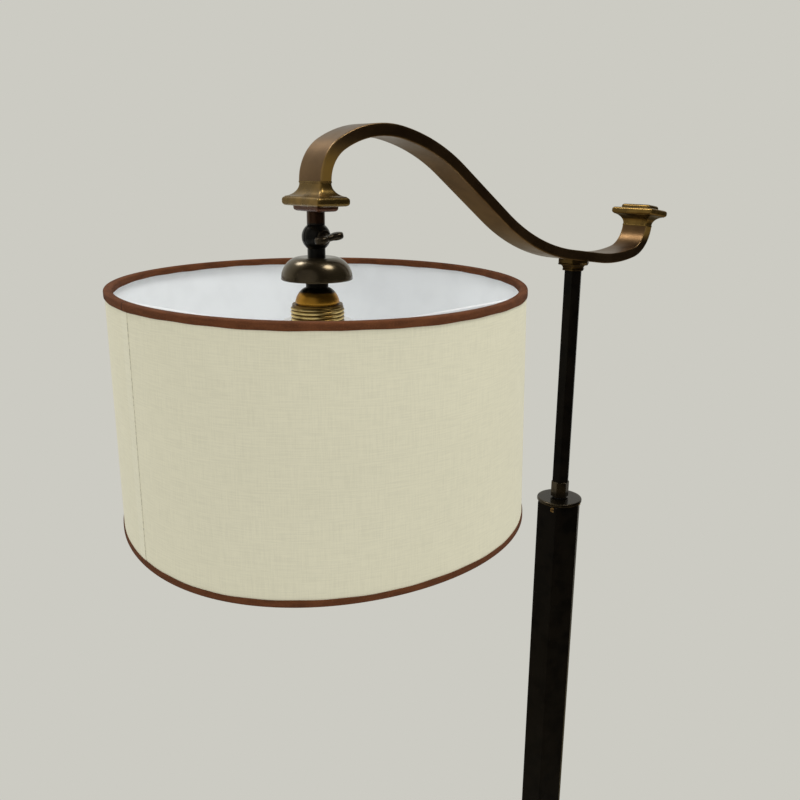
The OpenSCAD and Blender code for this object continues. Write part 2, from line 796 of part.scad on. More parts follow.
// The step on the plate
module end_step() {
    box_moulding(3 * bar_w, 3 * bar_w) {
        band(end_step_d / 2, end_step_at, end_step_at + end_step_t, end_step_edge_r);
        band(end_step_w / 2, end_step_at, end_step_at + end_step_t, end_step_edge_r);
    }
}

// Puts what is drawn upwards from level 0 at an end of the bar
module at_bar_end(p) {
    translate([p[0], 0, p[1]]) rotate([0, 90 - p[2], 0]) children();
}

module finial() {
    color(worn_brass) at_bar_end(finial_at) end_casting();
}

module finial_step() {
    color(worn_brass) at_bar_end(finial_at) end_step();
}

// The lamp's end is drilled for the stem and slotted for the lead
module lamp_end() {
    color(worn_brass) difference() {
        at_bar_end(lamp_end_at) end_casting();
        translate([-arm_reach, 0, 0]) {
            round_bar(nipple_d + 2 * thread_gap, stem_top - past, stem_top + stem_thread_len + free_gap);
            translate([-channel_t / 2, -nipple_bore_d / 2, stem_top])
                cube([channel_t, nipple_bore_d, arm_end_z - stem_top + past]);
        }
    }
}

module lamp_end_step() {
    color(worn_brass) difference() {
        at_bar_end(lamp_end_at) end_step();
        translate([-arm_reach, 0, 0])
            round_bar(nipple_d + 2 * thread_gap, stem_top - past, arm_end_z);
    }
}

// Half of the knuckle with its stem upwards: the half ball is behind, and the stem clears the other
module knuckle_half(stem_len) {
    difference() {
        union() {
            intersection() {
                sphere(d = ball_d, $fn = fine_fn);
                translate([-ball_d, ball_gap / 2, -ball_d]) cube(2 * ball_d);
            }
            difference() {
                cylinder(d = stem_d, h = stem_len, $fn = fine_fn);
                translate([-ball_d, -2 * ball_d + ball_gap / 2, -ball_d])
                    cube([2 * ball_d, 2 * ball_d, ball_d]);
                intersection() {
                    sphere(d = ball_d + 2 * free_gap, $fn = fine_fn);
                    translate([-ball_d, -2 * ball_d + ball_gap / 2, -ball_d]) cube(2 * ball_d);
                }
            }
        }
        translate([0, 0, -ball_d]) cylinder(d = knuckle_bore_d, h = ball_d + stem_len + past, $fn = fine_fn);
    }
}

// The hollow threaded end of a stem
module stem_thread(z, len) {
    difference() {
        translate([0, 0, z]) cylinder(d = nipple_d, h = len, $fn = fine_fn);
        translate([0, 0, z - past]) cylinder(d = knuckle_bore_d, h = len + 2 * past, $fn = fine_fn);
    }
}

// Upper half: the half ball is behind, and it is tapped for the wing screw
module knuckle_upper() {
    color(dark_bronze) translate([-arm_reach, 0, ball_z]) {
        difference() {
            knuckle_half(stem_drop);
            rotate([-90, 0, 0]) cylinder(d = wing_shank_d + 2 * thread_gap, h = ball_d, $fn = fine_fn);
        }
        stem_thread(stem_drop, stem_thread_len);
    }
}

module knuckle_washer() {
    color(steel) translate([-arm_reach, -ball_gap / 2 + thread_gap, ball_z]) rotate([-90, 0, 0])
        difference() {
            cylinder(d = ball_washer_d, h = ball_gap - thread_gap, $fn = fine_fn);
            translate([0, 0, -past])
                cylinder(d = knuckle_bore_d + 2 * free_gap, h = ball_gap + 2 * past, $fn = fine_fn);
        }
}

// Lead from the pivot up the rod, along the arm's channel and down to the knuckle
module lead_arm() {
    elbow_turn = 90 - seat_slope;
    elbow_x = lead_elbow_r * (1 - cos(elbow_turn));
    elbow_z = seat_z + elbow_x * tan(seat_slope) - lead_elbow_r * sin(elbow_turn);
    steps = lamp_steps(arm_straight);
    color("black") strap([0, pivot_foot_z, 90], concat(
        [[0, elbow_z - pivot_foot_z], [lead_elbow_r, elbow_turn]],
        [[0, seat_lamp_len - elbow_x / cos(seat_slope)]],
        [for (i = [1 : len(steps) - 1]) steps[i]],
        [[0, arm_end_z - ball_z - ball_r - free_gap]]
    ), lead_t, lead_w);
}

// Wing screw: shank on the hinge's axis, boss, neck and two leaves
module wing_screw() {
    leaf_at = screw_flat + thread_gap + wing_boss_len + wing_neck_len + wing_leaf_d / 2 - past;
    color(dark_bronze) translate([-arm_reach, 0, ball_z]) rotate([90, 0, 0]) {
        translate([0, 0, past - ball_r])
            cylinder(d = wing_shank_d, h = ball_r + screw_flat, $fn = fine_fn);
        translate([0, 0, screw_flat + thread_gap])
            cylinder(d = wing_boss_d, h = wing_boss_len, $fn = fine_fn);
        translate([0, 0, screw_flat]) cylinder(d = wing_neck_d, h = leaf_at - screw_flat, $fn = fine_fn);
        translate([0, 0, leaf_at]) rotate([0, 0, wing_turn]) rotate([90, 0, 0])
            linear_extrude(wing_leaf_t, center = true) {
                for (side = [-1, 1]) translate([side * wing_spread / 2, 0]) circle(d = wing_leaf_d);
                square([wing_spread, wing_waist_h], center = true);
            }
    }
}

// Lower half: the half ball is in front, bored for the screw and faced for its boss
module knuckle_lower() {
    color(dark_bronze) translate([-arm_reach, 0, ball_z]) rotate([180, 0, 0]) {
        difference() {
            knuckle_half(bell_drop);
            rotate([-90, 0, 0]) cylinder(d = wing_shank_d + 2 * turn_gap, h = ball_d, $fn = fine_fn);
            translate([-ball_d, screw_flat, -ball_d]) cube(2 * ball_d);
        }
        stem_thread(bell_drop, lower_thread_len);
    }
}

// Outline of the bell from its flat top's edge down to its mouth, drawn in by an inset
function bell_curve(inset) = [
    for (a = [90 : -curve_step : 0])
        [bell_flat_d / 2 + (bell_d / 2 - inset - bell_flat_d / 2) * cos(a), (bell_h - inset) * sin(a)]
];

module bell_cap() {
    color(dark_bronze) translate([-arm_reach, 0, bell_mouth]) difference() {
        rotate_extrude() difference() {
            polygon(concat([[0, 0], [0, bell_h]], bell_curve(0)));
            polygon(concat([[0, 0], [0, bell_h - bell_wall]], bell_curve(bell_wall)));
        }
        translate([0, 0, bell_h / 2]) cylinder(d = nipple_d + 2 * thread_gap, h = bell_h, $fn = fine_fn);
    }
}

// Outline of the dome from the neck down to its rim, drawn in by an inset
function dome_curve(inset) = [
    for (a = [90 : -curve_step : 0])
        [neck_d / 2 - inset + (dome_d - neck_d) / 2 * cos(a), dome_h * sin(a) - inset]
];

module lampholder_dome() {
    rim = dome_rim_h;
    bore_r = nipple_r + thread_gap;
    color(brass) translate([-arm_reach, 0, skirt_top + rim]) rotate_extrude() difference() {
        polygon(concat(
            [[bore_r, -rim], [bore_r, dome_h + neck_len], [neck_d / 2, dome_h + neck_len]],
            dome_curve(0), [[dome_d / 2, -rim]]
        ));
        polygon(concat(
            [[0, -rim - past], [0, dome_h + past], [bore_r + dome_wall, dome_h + past]],
            dome_curve(dome_wall), [[dome_d / 2 - dome_wall, -rim - past]]
        ));
    }
}

// Threaded skirt: its thread is drawn as rings of the same pitch
module lampholder_skirt() {
    turns = floor((skirt_len - 2 * skirt_plain_len) / skirt_pitch);
    crest = skirt_d / 2;
    crest_half = skirt_crest_w / 2;
    root_half = crest_half + skirt_thread_h * tan(skirt_flank);
    color(brass) translate([-arm_reach, 0, skirt_mouth]) rotate_extrude() difference() {
        union() {
            square([skirt_root_r, skirt_len]);
            for (k = [0 : turns - 1]) translate([0, skirt_plain_len + (k + 0.5) * skirt_pitch])
                polygon([
                    [skirt_inner_r, -root_half], [skirt_root_r, -root_half], [crest, -crest_half],
                    [crest, crest_half], [skirt_root_r, root_half], [skirt_inner_r, root_half]
                ]);
        }
        translate([0, -past]) square([skirt_inner_r, skirt_len - skirt_wall + past]);
        square([dome_d / 2 - dome_wall - free_gap, skirt_len + past]);
    }
}

// Ceramic core round the screw shell
module lampholder_core() {
    color(white) translate([-arm_reach, 0, 0]) difference() {
        round_bar(2 * (skirt_inner_r - seat_gap), bulb_shell_z, core_top);
        round_bar(bulb_bore_d + 2 * bulb_shell_wall + 2 * seat_gap, bulb_shell_z - past, contact_top);
    }
}

module bulb_shell() {
    color(steel) translate([-arm_reach, 0, 0]) difference() {
        round_bar(bulb_bore_d + 2 * bulb_shell_wall, bulb_shell_z, bulb_shell_top);
        round_bar(bulb_bore_d, bulb_shell_z - past, bulb_shell_top + past);
    }
}

// Sprung centre contact
module bulb_contact() {
    foot = bulb_shell_top + free_gap;
    color(brass) translate([-arm_reach - contact_w / 2, -contact_w / 2, foot]) {
        cube([contact_len, contact_w, contact_t]);
        translate([contact_len - contact_t, 0, 0]) cube([contact_t, contact_w, contact_top - foot]);
    }
}

// Lead from the knuckle down to the lampholder's core
module lead_head() {
    color("black") translate([-arm_reach, 0, core_top])
        linear_extrude(ball_z - ball_r - free_gap - core_top)
            square([lead_t, lead_w], center = true);
}

module shade_ring(z, t) {
    color(white) translate([-arm_reach, 0, 0]) difference() {
        round_bar(shade_ring_d, z, z + t);
        round_bar(skirt_d + 2 * thread_gap, z - past, z + t + past);
    }
}

module shade_ring_upper() {
    shade_ring(upper_ring_z, upper_ring_t);
}

module shade_ring_lower() {
    shade_ring(lower_ring_z, lower_ring_t);
}

// The fitter's arms, from the hub up to the inside of the top wire
module fitter_arms_of(d) {
    arm_from = [fitter_hub_d / 2 - past, hub_z + fitter_hub_t / 2];
    arm_to = [wire_ring_r(wire_top_z) - wire_r - thread_gap, wire_top_z - wire_r];
    rise = atan2(arm_to[1] - arm_from[1], arm_to[0] - arm_from[0]);
    intersection() {
        for (k = [0 : fitter_arms - 1]) rotate([0, 0, fitter_turn + 360 / fitter_arms * k])
            translate([arm_from[0], 0, arm_from[1]]) rotate([0, 90 - rise, 0])
                cylinder(d = d, h = norm(arm_to - arm_from) + fitter_arm_d, $fn = wire_fn);
        round_bar(2 * arm_to[0], hub_z - fitter_arm_d, shade_top_z);
    }
}

// Fitter: a hub plate on the skirt, with its arms
module shade_fitter() {
    color(white) translate([-arm_reach, 0, 0]) {
        difference() {
            round_bar(fitter_hub_d, hub_z, hub_z + fitter_hub_t);
            round_bar(skirt_d + 4 * seat_gap, hub_z - past, hub_z + fitter_hub_t + past);
        }
        fitter_arms_of(fitter_arm_d);
    }
}

// A wire ring against the liner
module shade_wire(z) {
    color(white) translate([-arm_reach, 0, z]) rotate_extrude()
        translate([wire_ring_r(z), 0]) circle(d = shade_wire_d, $fn = wire_fn);
}

module shade_wire_top() {
    shade_wire(wire_top_z);
}

module shade_wire_foot() {
    shade_wire(wire_foot_z);
}

// A skin of the shade's wall: its levels, and how deep its faces lie inside the cover's face
module shade_skin(z0, z1, depth0, depth1) {
    translate([-arm_reach, 0, 0]) rotate_extrude() polygon([
        [shade_r(z0) - depth0, z0], [shade_r(z1) - depth0, z1],
        [shade_r(z1) - depth1, z1], [shade_r(z0) - depth1, z0]
    ]);
}

module shade_liner() {
    color(white) shade_skin(shade_foot_z, shade_top_z, cover_t, shade_wall_t);
}

module shade_cover() {
    color([0.80, 0.79, 0.68]) shade_skin(shade_foot_z, shade_top_z, 0, cover_t);
}

// Edge binding folded over an edge and its wire: an outer leg, a lip and an inner leg
module binding(edge_z, dir) {
    lip_z = edge_z + dir * binding_t;
    foot_z = edge_z - dir * binding_h;
    shade_skin(min(lip_z, foot_z), max(lip_z, foot_z), -binding_t, 0);
    shade_skin(min(lip_z, foot_z), max(lip_z, foot_z), rim_t, rim_t + binding_t);
    shade_skin(min(lip_z, edge_z), max(lip_z, edge_z), -binding_t, rim_t + binding_t);
}

// The top binding is notched round the fitter's arms
module shade_binding_top() {
    color(tape) difference() {
        binding(shade_top_z, 1);
        translate([-arm_reach, 0, 0]) fitter_arms_of(fitter_arm_d + 2 * seat_gap);
    }
}

module shade_binding_foot() {
    color(tape) binding(shade_foot_z, -1);
}

felt_pad();
foot_weight();
foot_skin();
foot_washer();
foot_nut();
foot_bolt();
cord_inlet();
column_plug();
column_plinth();
column_tube();
column_cap();
cap_screws();
lead_column();
pivot_nipple();
pivot_washer();
pivot_nut();
rod_spacer();
rod_ferrule();
rod_tube();
arm_collar();
arm_nipple();
arm_bar();
finial();
finial_step();
lamp_end();
lamp_end_step();
knuckle_upper();
knuckle_washer();
lead_arm();
wing_screw();
knuckle_lower();
bell_cap();
lampholder_dome();
lampholder_skirt();
lampholder_core();
bulb_shell();
bulb_contact();
lead_head();
shade_ring_upper();
shade_ring_lower();
shade_fitter();
shade_wire_top();
shade_wire_foot();
shade_liner();
shade_cover();
shade_binding_top();
shade_binding_foot();
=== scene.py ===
"""Looks of the bridge floor lamp: rubbed bronze, brass, a linen drum shade and its white liner.

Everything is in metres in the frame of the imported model: the origin is on the floor on the
column's axis, +Z is up, and the arm reaches towards -X. Each new piece is a surface worked out
with numpy, as a profile carried round an axis, round a polygon or along the arm's path.
"""

import math

import bpy
import numpy as np
from mathutils import Matrix, Vector

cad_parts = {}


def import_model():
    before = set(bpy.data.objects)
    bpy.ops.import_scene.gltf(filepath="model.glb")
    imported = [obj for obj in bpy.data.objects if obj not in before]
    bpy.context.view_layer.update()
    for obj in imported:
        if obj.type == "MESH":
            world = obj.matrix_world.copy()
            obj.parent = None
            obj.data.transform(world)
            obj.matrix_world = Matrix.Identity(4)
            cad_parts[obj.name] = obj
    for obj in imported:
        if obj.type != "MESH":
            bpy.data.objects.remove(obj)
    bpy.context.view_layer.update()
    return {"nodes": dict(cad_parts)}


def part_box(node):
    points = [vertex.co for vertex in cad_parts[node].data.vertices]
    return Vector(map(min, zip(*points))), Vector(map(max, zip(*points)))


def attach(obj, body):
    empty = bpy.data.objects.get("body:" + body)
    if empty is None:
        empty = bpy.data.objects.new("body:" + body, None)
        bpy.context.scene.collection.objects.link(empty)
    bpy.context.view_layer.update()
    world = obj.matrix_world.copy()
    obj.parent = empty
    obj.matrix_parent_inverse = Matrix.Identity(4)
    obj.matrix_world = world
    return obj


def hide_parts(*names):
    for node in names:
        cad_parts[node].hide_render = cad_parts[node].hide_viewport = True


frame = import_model()
nodes = frame["nodes"]
MM = 0.001

# Sizes and places of the solids in metres, and turns in degrees. A hexagon's FLAT is the
# distance from its axis to its sides.
FELT_TOP = 0.002
FOOT_STEP, FOOT_TOP = 0.018, 0.028
FOOT_RADIUS, FOOT_STEP_RADIUS = 0.135, 0.121
PLINTH_FLAT = 0.0206
COLUMN_TOP, COLUMN_FLAT = 1.036, 0.0205
CAP_TOP, CAP_RADIUS = 1.0395, 0.02275
FERRULE_FOOT, FERRULE_HEIGHT, FERRULE_FLAT = CAP_TOP + 0.0012, 0.0168, 0.0079
ROD_FOOT, ROD_LENGTH, ROD_FLAT = CAP_TOP + 0.018, 0.216, 0.0077
COLLAR_FOOT, COLLAR_FLAT = CAP_TOP + 0.234, 0.0098
BOSS_FOOT, BOSS_FLAT = CAP_TOP + 0.2413, 0.0137
SEAT_Z = CAP_TOP + 0.24815
COLUMN_TURN, FERRULE_TURN = 4, 48
BAR_THICK, BAR_WIDE = 0.0094, 0.0290
REACH = 0.297
LAMP_AXIS = (-REACH, 0)
BELL_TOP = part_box("bell_cap")[1].z
BELL_HEIGHT = 0.0165
BALL_Z = BELL_TOP + 0.0144
KNUCKLE_TOP = BALL_Z + 0.0100
WING_TURN = 10.0
SKIRT_FOOT, SKIRT_TOP = (corner.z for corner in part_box("lampholder_skirt"))
SHADE_FOOT, SHADE_TOP = (corner.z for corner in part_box("shade_cover"))
SHADE_RADIUS, SHADE_SPREAD = 0.1524, 0.0014
HUB_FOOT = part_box("shade_ring_lower")[1].z
HUB_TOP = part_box("shade_ring_upper")[0].z

# Camera: in front of the lamp on the shade's side, looking down by 15.5 degrees
CAMERA_AT = (-0.65119, -0.52108, CAP_TOP + 0.32998)
CAMERA_YAW = math.radians(39.861)
CAMERA_PITCH = math.radians(15.532)
CAMERA_ROLL = math.radians(0.388)
CAMERA_LENS = 38.01


def place_camera():
    """Looks along the yaw from +Y towards +X, pitched down, with a slight roll."""
    data = bpy.data.cameras.new("camera")
    data.lens = CAMERA_LENS
    data.sensor_width = 36
    data.clip_start = 0.05
    data.clip_end = 50
    camera = bpy.data.objects.new("camera", data)
    bpy.context.scene.collection.objects.link(camera)
    ahead = Vector((
        math.sin(CAMERA_YAW) * math.cos(CAMERA_PITCH),
        math.cos(CAMERA_YAW) * math.cos(CAMERA_PITCH),
        -math.sin(CAMERA_PITCH),
    ))
    level = Vector((math.cos(CAMERA_YAW), -math.sin(CAMERA_YAW), 0))
    up = level.cross(ahead)
    right = level * math.cos(CAMERA_ROLL) + up * math.sin(CAMERA_ROLL)
    up = up * math.cos(CAMERA_ROLL) - level * math.sin(CAMERA_ROLL)
    turn = Matrix((right, up, -ahead)).transposed().to_4x4()
    camera.matrix_world = Matrix.Translation(CAMERA_AT) @ turn
    bpy.context.scene.camera = camera


place_camera()


# ---------------------------------------------------------------- shader expressions

class Value:
    """An output socket that adds its Math nodes when it is used in an expression."""

    def __init__(self, tree, socket):
        self.tree = tree
        self.socket = socket

    def math(self, operation, *others, swap=False):
        """A Math node of this socket and the others, or of the others and this one."""
        terms = [self, *others]
        if swap:
            terms.reverse()
        return self.tree.node("Math", {"operation": operation}, dict(enumerate(terms)))

    def __add__(self, other):
        return self.math("ADD", other)

    def __sub__(self, other):
        return self.math("SUBTRACT", other)

    def __rsub__(self, other):
        return self.math("SUBTRACT", other, swap=True)

    def __mul__(self, other):
        return self.math("MULTIPLY", other)

    __radd__ = __add__
    __rmul__ = __mul__

    def sine(self):
        return self.math("SINE")

    def clamp(self):
        return self.tree.node("Clamp", {}, {"Value": self})

    def part(self, name):
        """Another output of the node that this one belongs to."""
        return Value(self.tree, self.socket.node.outputs[name])

    def step(self, low, high):
        """Goes smoothly from 0 at low to 1 at high, whichever of the two is the larger."""
        return self.tree.node(
            "MapRange", {"interpolation_type": "SMOOTHSTEP"},
            {"Value": self, "From Min": low, "From Max": high},
        )


class Tree:
    """A material's or the world's node tree."""

    def __init__(self, owner):
        owner.use_nodes = True
        self.nodes = owner.node_tree.nodes
        self.links = owner.node_tree.links
        self.nodes.clear()

    def node(self, kind, settings, inputs, out=0):
        """Adds a node: its settings are set first, then its sockets get values or links."""
        made = self.nodes.new("ShaderNode" + kind)
        for key, setting in settings.items():
            setattr(made, key, setting)
        for key, term in inputs.items():
            if isinstance(term, Value):
                self.links.new(term.socket, made.inputs[key])
            else:
                made.inputs[key].default_value = term
        return Value(self, made.outputs[out]) if len(made.outputs) else None

    def place(self, stretch=(1, 1, 1), source="Object"):
        """Object coordinates, or a map of the surface, stretched along each axis."""
        if source == "Object":
            point = self.node("TexCoord", {}, {}, "Object")
        else:
            point = self.node("UVMap", {"uv_map": source}, {})
        return self.node("Mapping", {}, {"Vector": point, "Scale": stretch})

    def along(self, axis, source="Object"):
        """One of the coordinates of the place: X, Y or Z."""
        spot = self.node("SeparateXYZ", {}, {"Vector": self.place(source=source)})
        return spot.part(axis)

    def noise(self, scale, detail=3, stretch=(1, 1, 1), source="Object", roughness=0.5):
        """Cloudy noise from 0 to 1, with scale cells to the metre."""
        return self.node("TexNoise", {}, {
            "Vector": self.place(stretch, source), "Scale": scale, "Detail": detail,
            "Roughness": roughness,
        })

    def attribute(self, name):
        """A number that the piece's points carry."""
        return self.node("Attribute", {"attribute_name": name}, {}, "Fac")

    def mix(self, factor, a, b):
        """Colour a where the factor is 0 and colour b where it is 1."""
        return self.node("Mix", {"data_type": "RGBA"}, {0: factor, 6: a, 7: b}, 2)

    def bump(self, height, distance, strength):
        """A normal that follows a height from 0 to 1, which stands for the distance in metres."""
        return self.node("Bump", {}, {
            "Height": height, "Distance": distance, "Strength": strength,
        })


def finish_material(name, **surface):
    """A Principled material. Its sockets are named with underlines for spaces."""
    material = bpy.data.materials.new(name)
    tree = Tree(material)
    inputs = {}
    for key, term in surface.items():
        inputs[key.replace("_", " ")] = term(tree) if callable(term) else term
    shader = tree.node("BsdfPrincipled", {}, inputs)
    tree.node("OutputMaterial", {}, {"Surface": shader})
    return material


def rgb(red, green, blue):
    """A colour given in sRGB steps of 0 to 255, as Blender's linear colour."""
    def linear(step):
        share = step / 255
        return share / 12.92 if share <= 0.04045 else ((share + 0.055) / 1.055) ** 2.4
    return (linear(red), linear(green), linear(blue), 1)


def toned(share, colour):
    """A colour made darker by a share below 1, or lighter by one above it."""
    return tuple(share * part for part in colour[:3]) + (1,)


# ---------------------------------------------------------------- finishes

def bronze(name, dark, rubbed, wear_and_highlight_tone, metal, rough, wear_and_highlight_share=0.35, cloud=22.0, shine=0.5, second_tone=None):
    """Patinated bronze: clouds of a rubbed tone in the dark one, and worn edges, which on a
    thread's crests are a painted highlight.

    The wear is the piece's own 'edge' attribute, broken up by noise. Below 0 it is painted
    shade, darkening a hollow under a plate. The last argument, if given, is a mask and a second
    tone painted there: the knuckle's upper stem in its own tone, and painted golden light on the
    bar's narrow sides near its ends.
    """
    def colour(tree):
        clouds = tree.noise(cloud, 5, roughness=0.6).step(0.38, 0.68)
        specks = tree.noise(420, 3, roughness=0.7).step(0.62, 0.8)
        edge = tree.attribute("edge") * tree.noise(70, 2).step(0.30, 0.62)
        base = tree.mix(clouds, dark, rubbed)
        if second_tone is not None:
            # A second tone where its mask is: the bar's painted golden light, the knuckle's upper
            # stem
            base = tree.mix(second_tone[0](tree) * 0.9, base, second_tone[1])
        # Painted shade: where the edge attribute is below 0, a hollow under a plate turns dark
        base = tree.mix((edge * -0.8).clamp(), base, toned(0.1, dark))
        base = tree.mix(specks * min(0.6 * wear_and_highlight_share, 0.3), base, wear_and_highlight_tone)
        # Worn edges, and on a thread's crests a painted highlight
        return tree.mix((edge * wear_and_highlight_share).clamp(), base, wear_and_highlight_tone)

    def roughness(tree):
        return tree.noise(60, 4, roughness=0.6) * 0.22 + (rough - 0.11)

    def normal(tree):
        grain = tree.noise(600, 2) * 0.12 + tree.noise(90, 2)
        return tree.bump(grain, 0.00008, 0.4)

    return finish_material(
        name, Base_Color=colour, Roughness=roughness, Normal=normal, Metallic=metal,
        Specular_IOR_Level=shine,
    )


def painted_end_glow(tree):
    """Where golden reflected light is painted on the bar's narrow sides: up to the finial, and
    down to the lamp.

    Each end fades in over a range of heights and over one of distances from the column.
    """
    spot = tree.along("X")
    side = spot.part("Y").math("ABSOLUTE").step(BAR_WIDE / 2 - 0.0013, BAR_WIDE / 2 - 0.0002)
    across = spot + tree.noise(45, 3) * 0.010
    height = spot.part("Z") + tree.noise(45, 3) * 0.012
    at_lamp = height.step(1.399, 1.372) * across.step(-0.225, -0.265)
    at_finial = height.step(1.300, 1.313) * across.step(0.030, 0.036)
    return (at_finial + at_lamp).clamp() * side


def upper_stem(tree):
    """The part of the knuckle above its ball."""
    return tree.along("Z").step(KNUCKLE_TOP - 0.001, KNUCKLE_TOP + 0.001)


def bell_shade_mask(tree):
    """Where shade and the bell's dark reflection are painted: the holder's dome above a wavering
    level over the skirt's top.
    """
    height = tree.along("Z") + tree.noise(110, 4) * 0.0016
    return height.step(SKIRT_TOP + 0.0083, SKIRT_TOP + 0.0104)


def plain_metal(name, colour, rough, stain=0.5, scratches=0.4, painted_bell_shade=None):
    """Machined metal with fine turning marks and slightly uneven gloss.

    The last argument, if given, is where shade is painted nearly black on the metal, and that
    tone.
    """
    def tone(tree):
        clouds = tree.noise(70, 4, roughness=0.65).step(0.35, 0.75)
        base = tree.mix(clouds * stain, colour, toned(0.55, colour))
        # Painted shade, nearly black and less metallic, where the mask says
        return tree.mix(painted_bell_shade[0](tree), base, painted_bell_shade[1]) if painted_bell_shade else base

    return finish_material(
        name, Base_Color=tone,
        Metallic=(lambda tree: 1 - painted_bell_shade[0](tree) * 0.3) if painted_bell_shade else 1.0,
        Roughness=lambda tree: tree.noise(240, 3) * 0.2 + (rough - 0.1),
        Normal=lambda tree: tree.bump(tree.noise(1500, 2, (1, 1, 6)), 0.00005, scratches),
    )


def painted(name, colour, rough, texture=250.0, depth=0.00008, **extra):
    """Paint or plastic with a faint orange-peel and tone."""
    shade = toned(0.94, colour)
    return finish_material(
        name,
        Base_Color=lambda tree: tree.mix(tree.noise(40, 4).step(0.4, 0.7) * 0.6, colour, shade),
        Roughness=lambda tree: tree.noise(120, 3) * 0.12 + (rough - 0.06),
        Normal=lambda tree: tree.bump(tree.noise(texture, 3), depth, 0.5),
        **extra,
    )


# The map of the shade's pieces counts metres round the wall at this radius, from the seam on.
# The cover laps over its start there, and the tapes' ends meet a little before it.
MAP_RADIUS = 0.1531
HALF_ROUND = math.pi * MAP_RADIUS
LAP, BUTT = 0.009, 0.0055


def linen(name, colour, thread):
    """Plain-woven linen: warp and weft on the cover's map in metres, with slubs in both.

    Each set of threads is a sine across it, lifted where it passes over the other set.
    Slubs are noise drawn out along the threads. A broken dark line marks the seam: painted
    shade, where the lap's edge faces away from the light. The double layer beside it is lighter.
    """
    turns = 2 * math.pi / thread

    def weave(tree):
        across = tree.along("X", "map")
        warp = (across * turns).sine()
        weft = (across.part("Y") * turns).sine()
        return warp * weft * 0.5 + (warp.math("ABSOLUTE") + weft.math("ABSOLUTE")) * 0.25

    def slubs(tree):
        level = tree.noise(1100, 3, (0.05, 1, 1), "map", 0.65)
        upright = tree.noise(1100, 3, (1, 0.05, 1), "map", 0.65)
        return level * 0.55 + upright * 0.45

    def tone(tree):
        light, dark = toned(1.04, colour), toned(0.88, colour)
        patch = tree.noise(9, 3, (1, 1, 1), "map")
        threads = (slubs(tree).step(0.34, 0.62) * 0.6 + patch * 0.5).clamp()
        base = tree.mix(threads, dark, light)
        base = tree.mix(weave(tree).step(0.55, 0.0) * 0.08, base, dark)
        around = tree.along("X", "map")
        double = around.step(2 * HALF_ROUND - LAP - 0.0006, 2 * HALF_ROUND - LAP)
        base = tree.mix(double * 0.05, base, (1, 1, 0.92, 1))
        # Painted shade: a broken dark line along the seam, where the lap's edge faces away from the
        # light
        middle = (around - HALF_ROUND).math("ABSOLUTE")
        crease = middle.step(HALF_ROUND - 0.0009, HALF_ROUND - 0.0003)
        broken = tree.noise(420, 2, (0.3, 1, 1), "map").step(0.44, 0.62) * 0.45 + 0.1
        return tree.mix(crease * broken, base, toned(0.40, colour))

    def normal(tree):
        return tree.bump(weave(tree) * 0.4 + slubs(tree) * 1.0, 0.00014, 0.5)

    return finish_material(
        name, Base_Color=tone, Normal=normal, Roughness=0.92, Sheen_Weight=0.04,
        Sheen_Roughness=0.5, Specular_IOR_Level=0.2,
    )


def tape(name, colour, rib):
    """Grosgrain tape: ribs across it, on the binding's map in metres, and a little fading."""
    def ribs(tree):
        around = tree.along("X", "map")
        return (around * (2 * math.pi / rib)).sine() * 0.5 + 0.5

    def tone(tree):
        dark = toned(0.62, colour)
        fade = tree.noise(60, 4, (1, 4, 1), "map", 0.6).step(0.3, 0.72)
        base = tree.mix(fade, dark, colour)
        speck = tree.noise(1600, 2, (0.5, 1, 1), "map", 0.7).step(0.52, 0.72)
        base = tree.mix(speck * 0.4, base, toned(1.9, colour))
        around = tree.along("X", "map")
        butt = (around - 2 * HALF_ROUND + BUTT).math("ABSOLUTE").step(0.0008, 0.0003)
        base = tree.mix(butt * 0.85, base, toned(0.15, colour))
        return tree.mix(ribs(tree) * 0.22, base, dark)

    def normal(tree):
        return tree.bump(ribs(tree) + tree.noise(1500, 3) * 0.8, 0.00012, 0.6)

    return finish_material(
        name, Base_Color=tone, Normal=normal, Roughness=0.9, Specular_IOR_Level=0.15,
    )


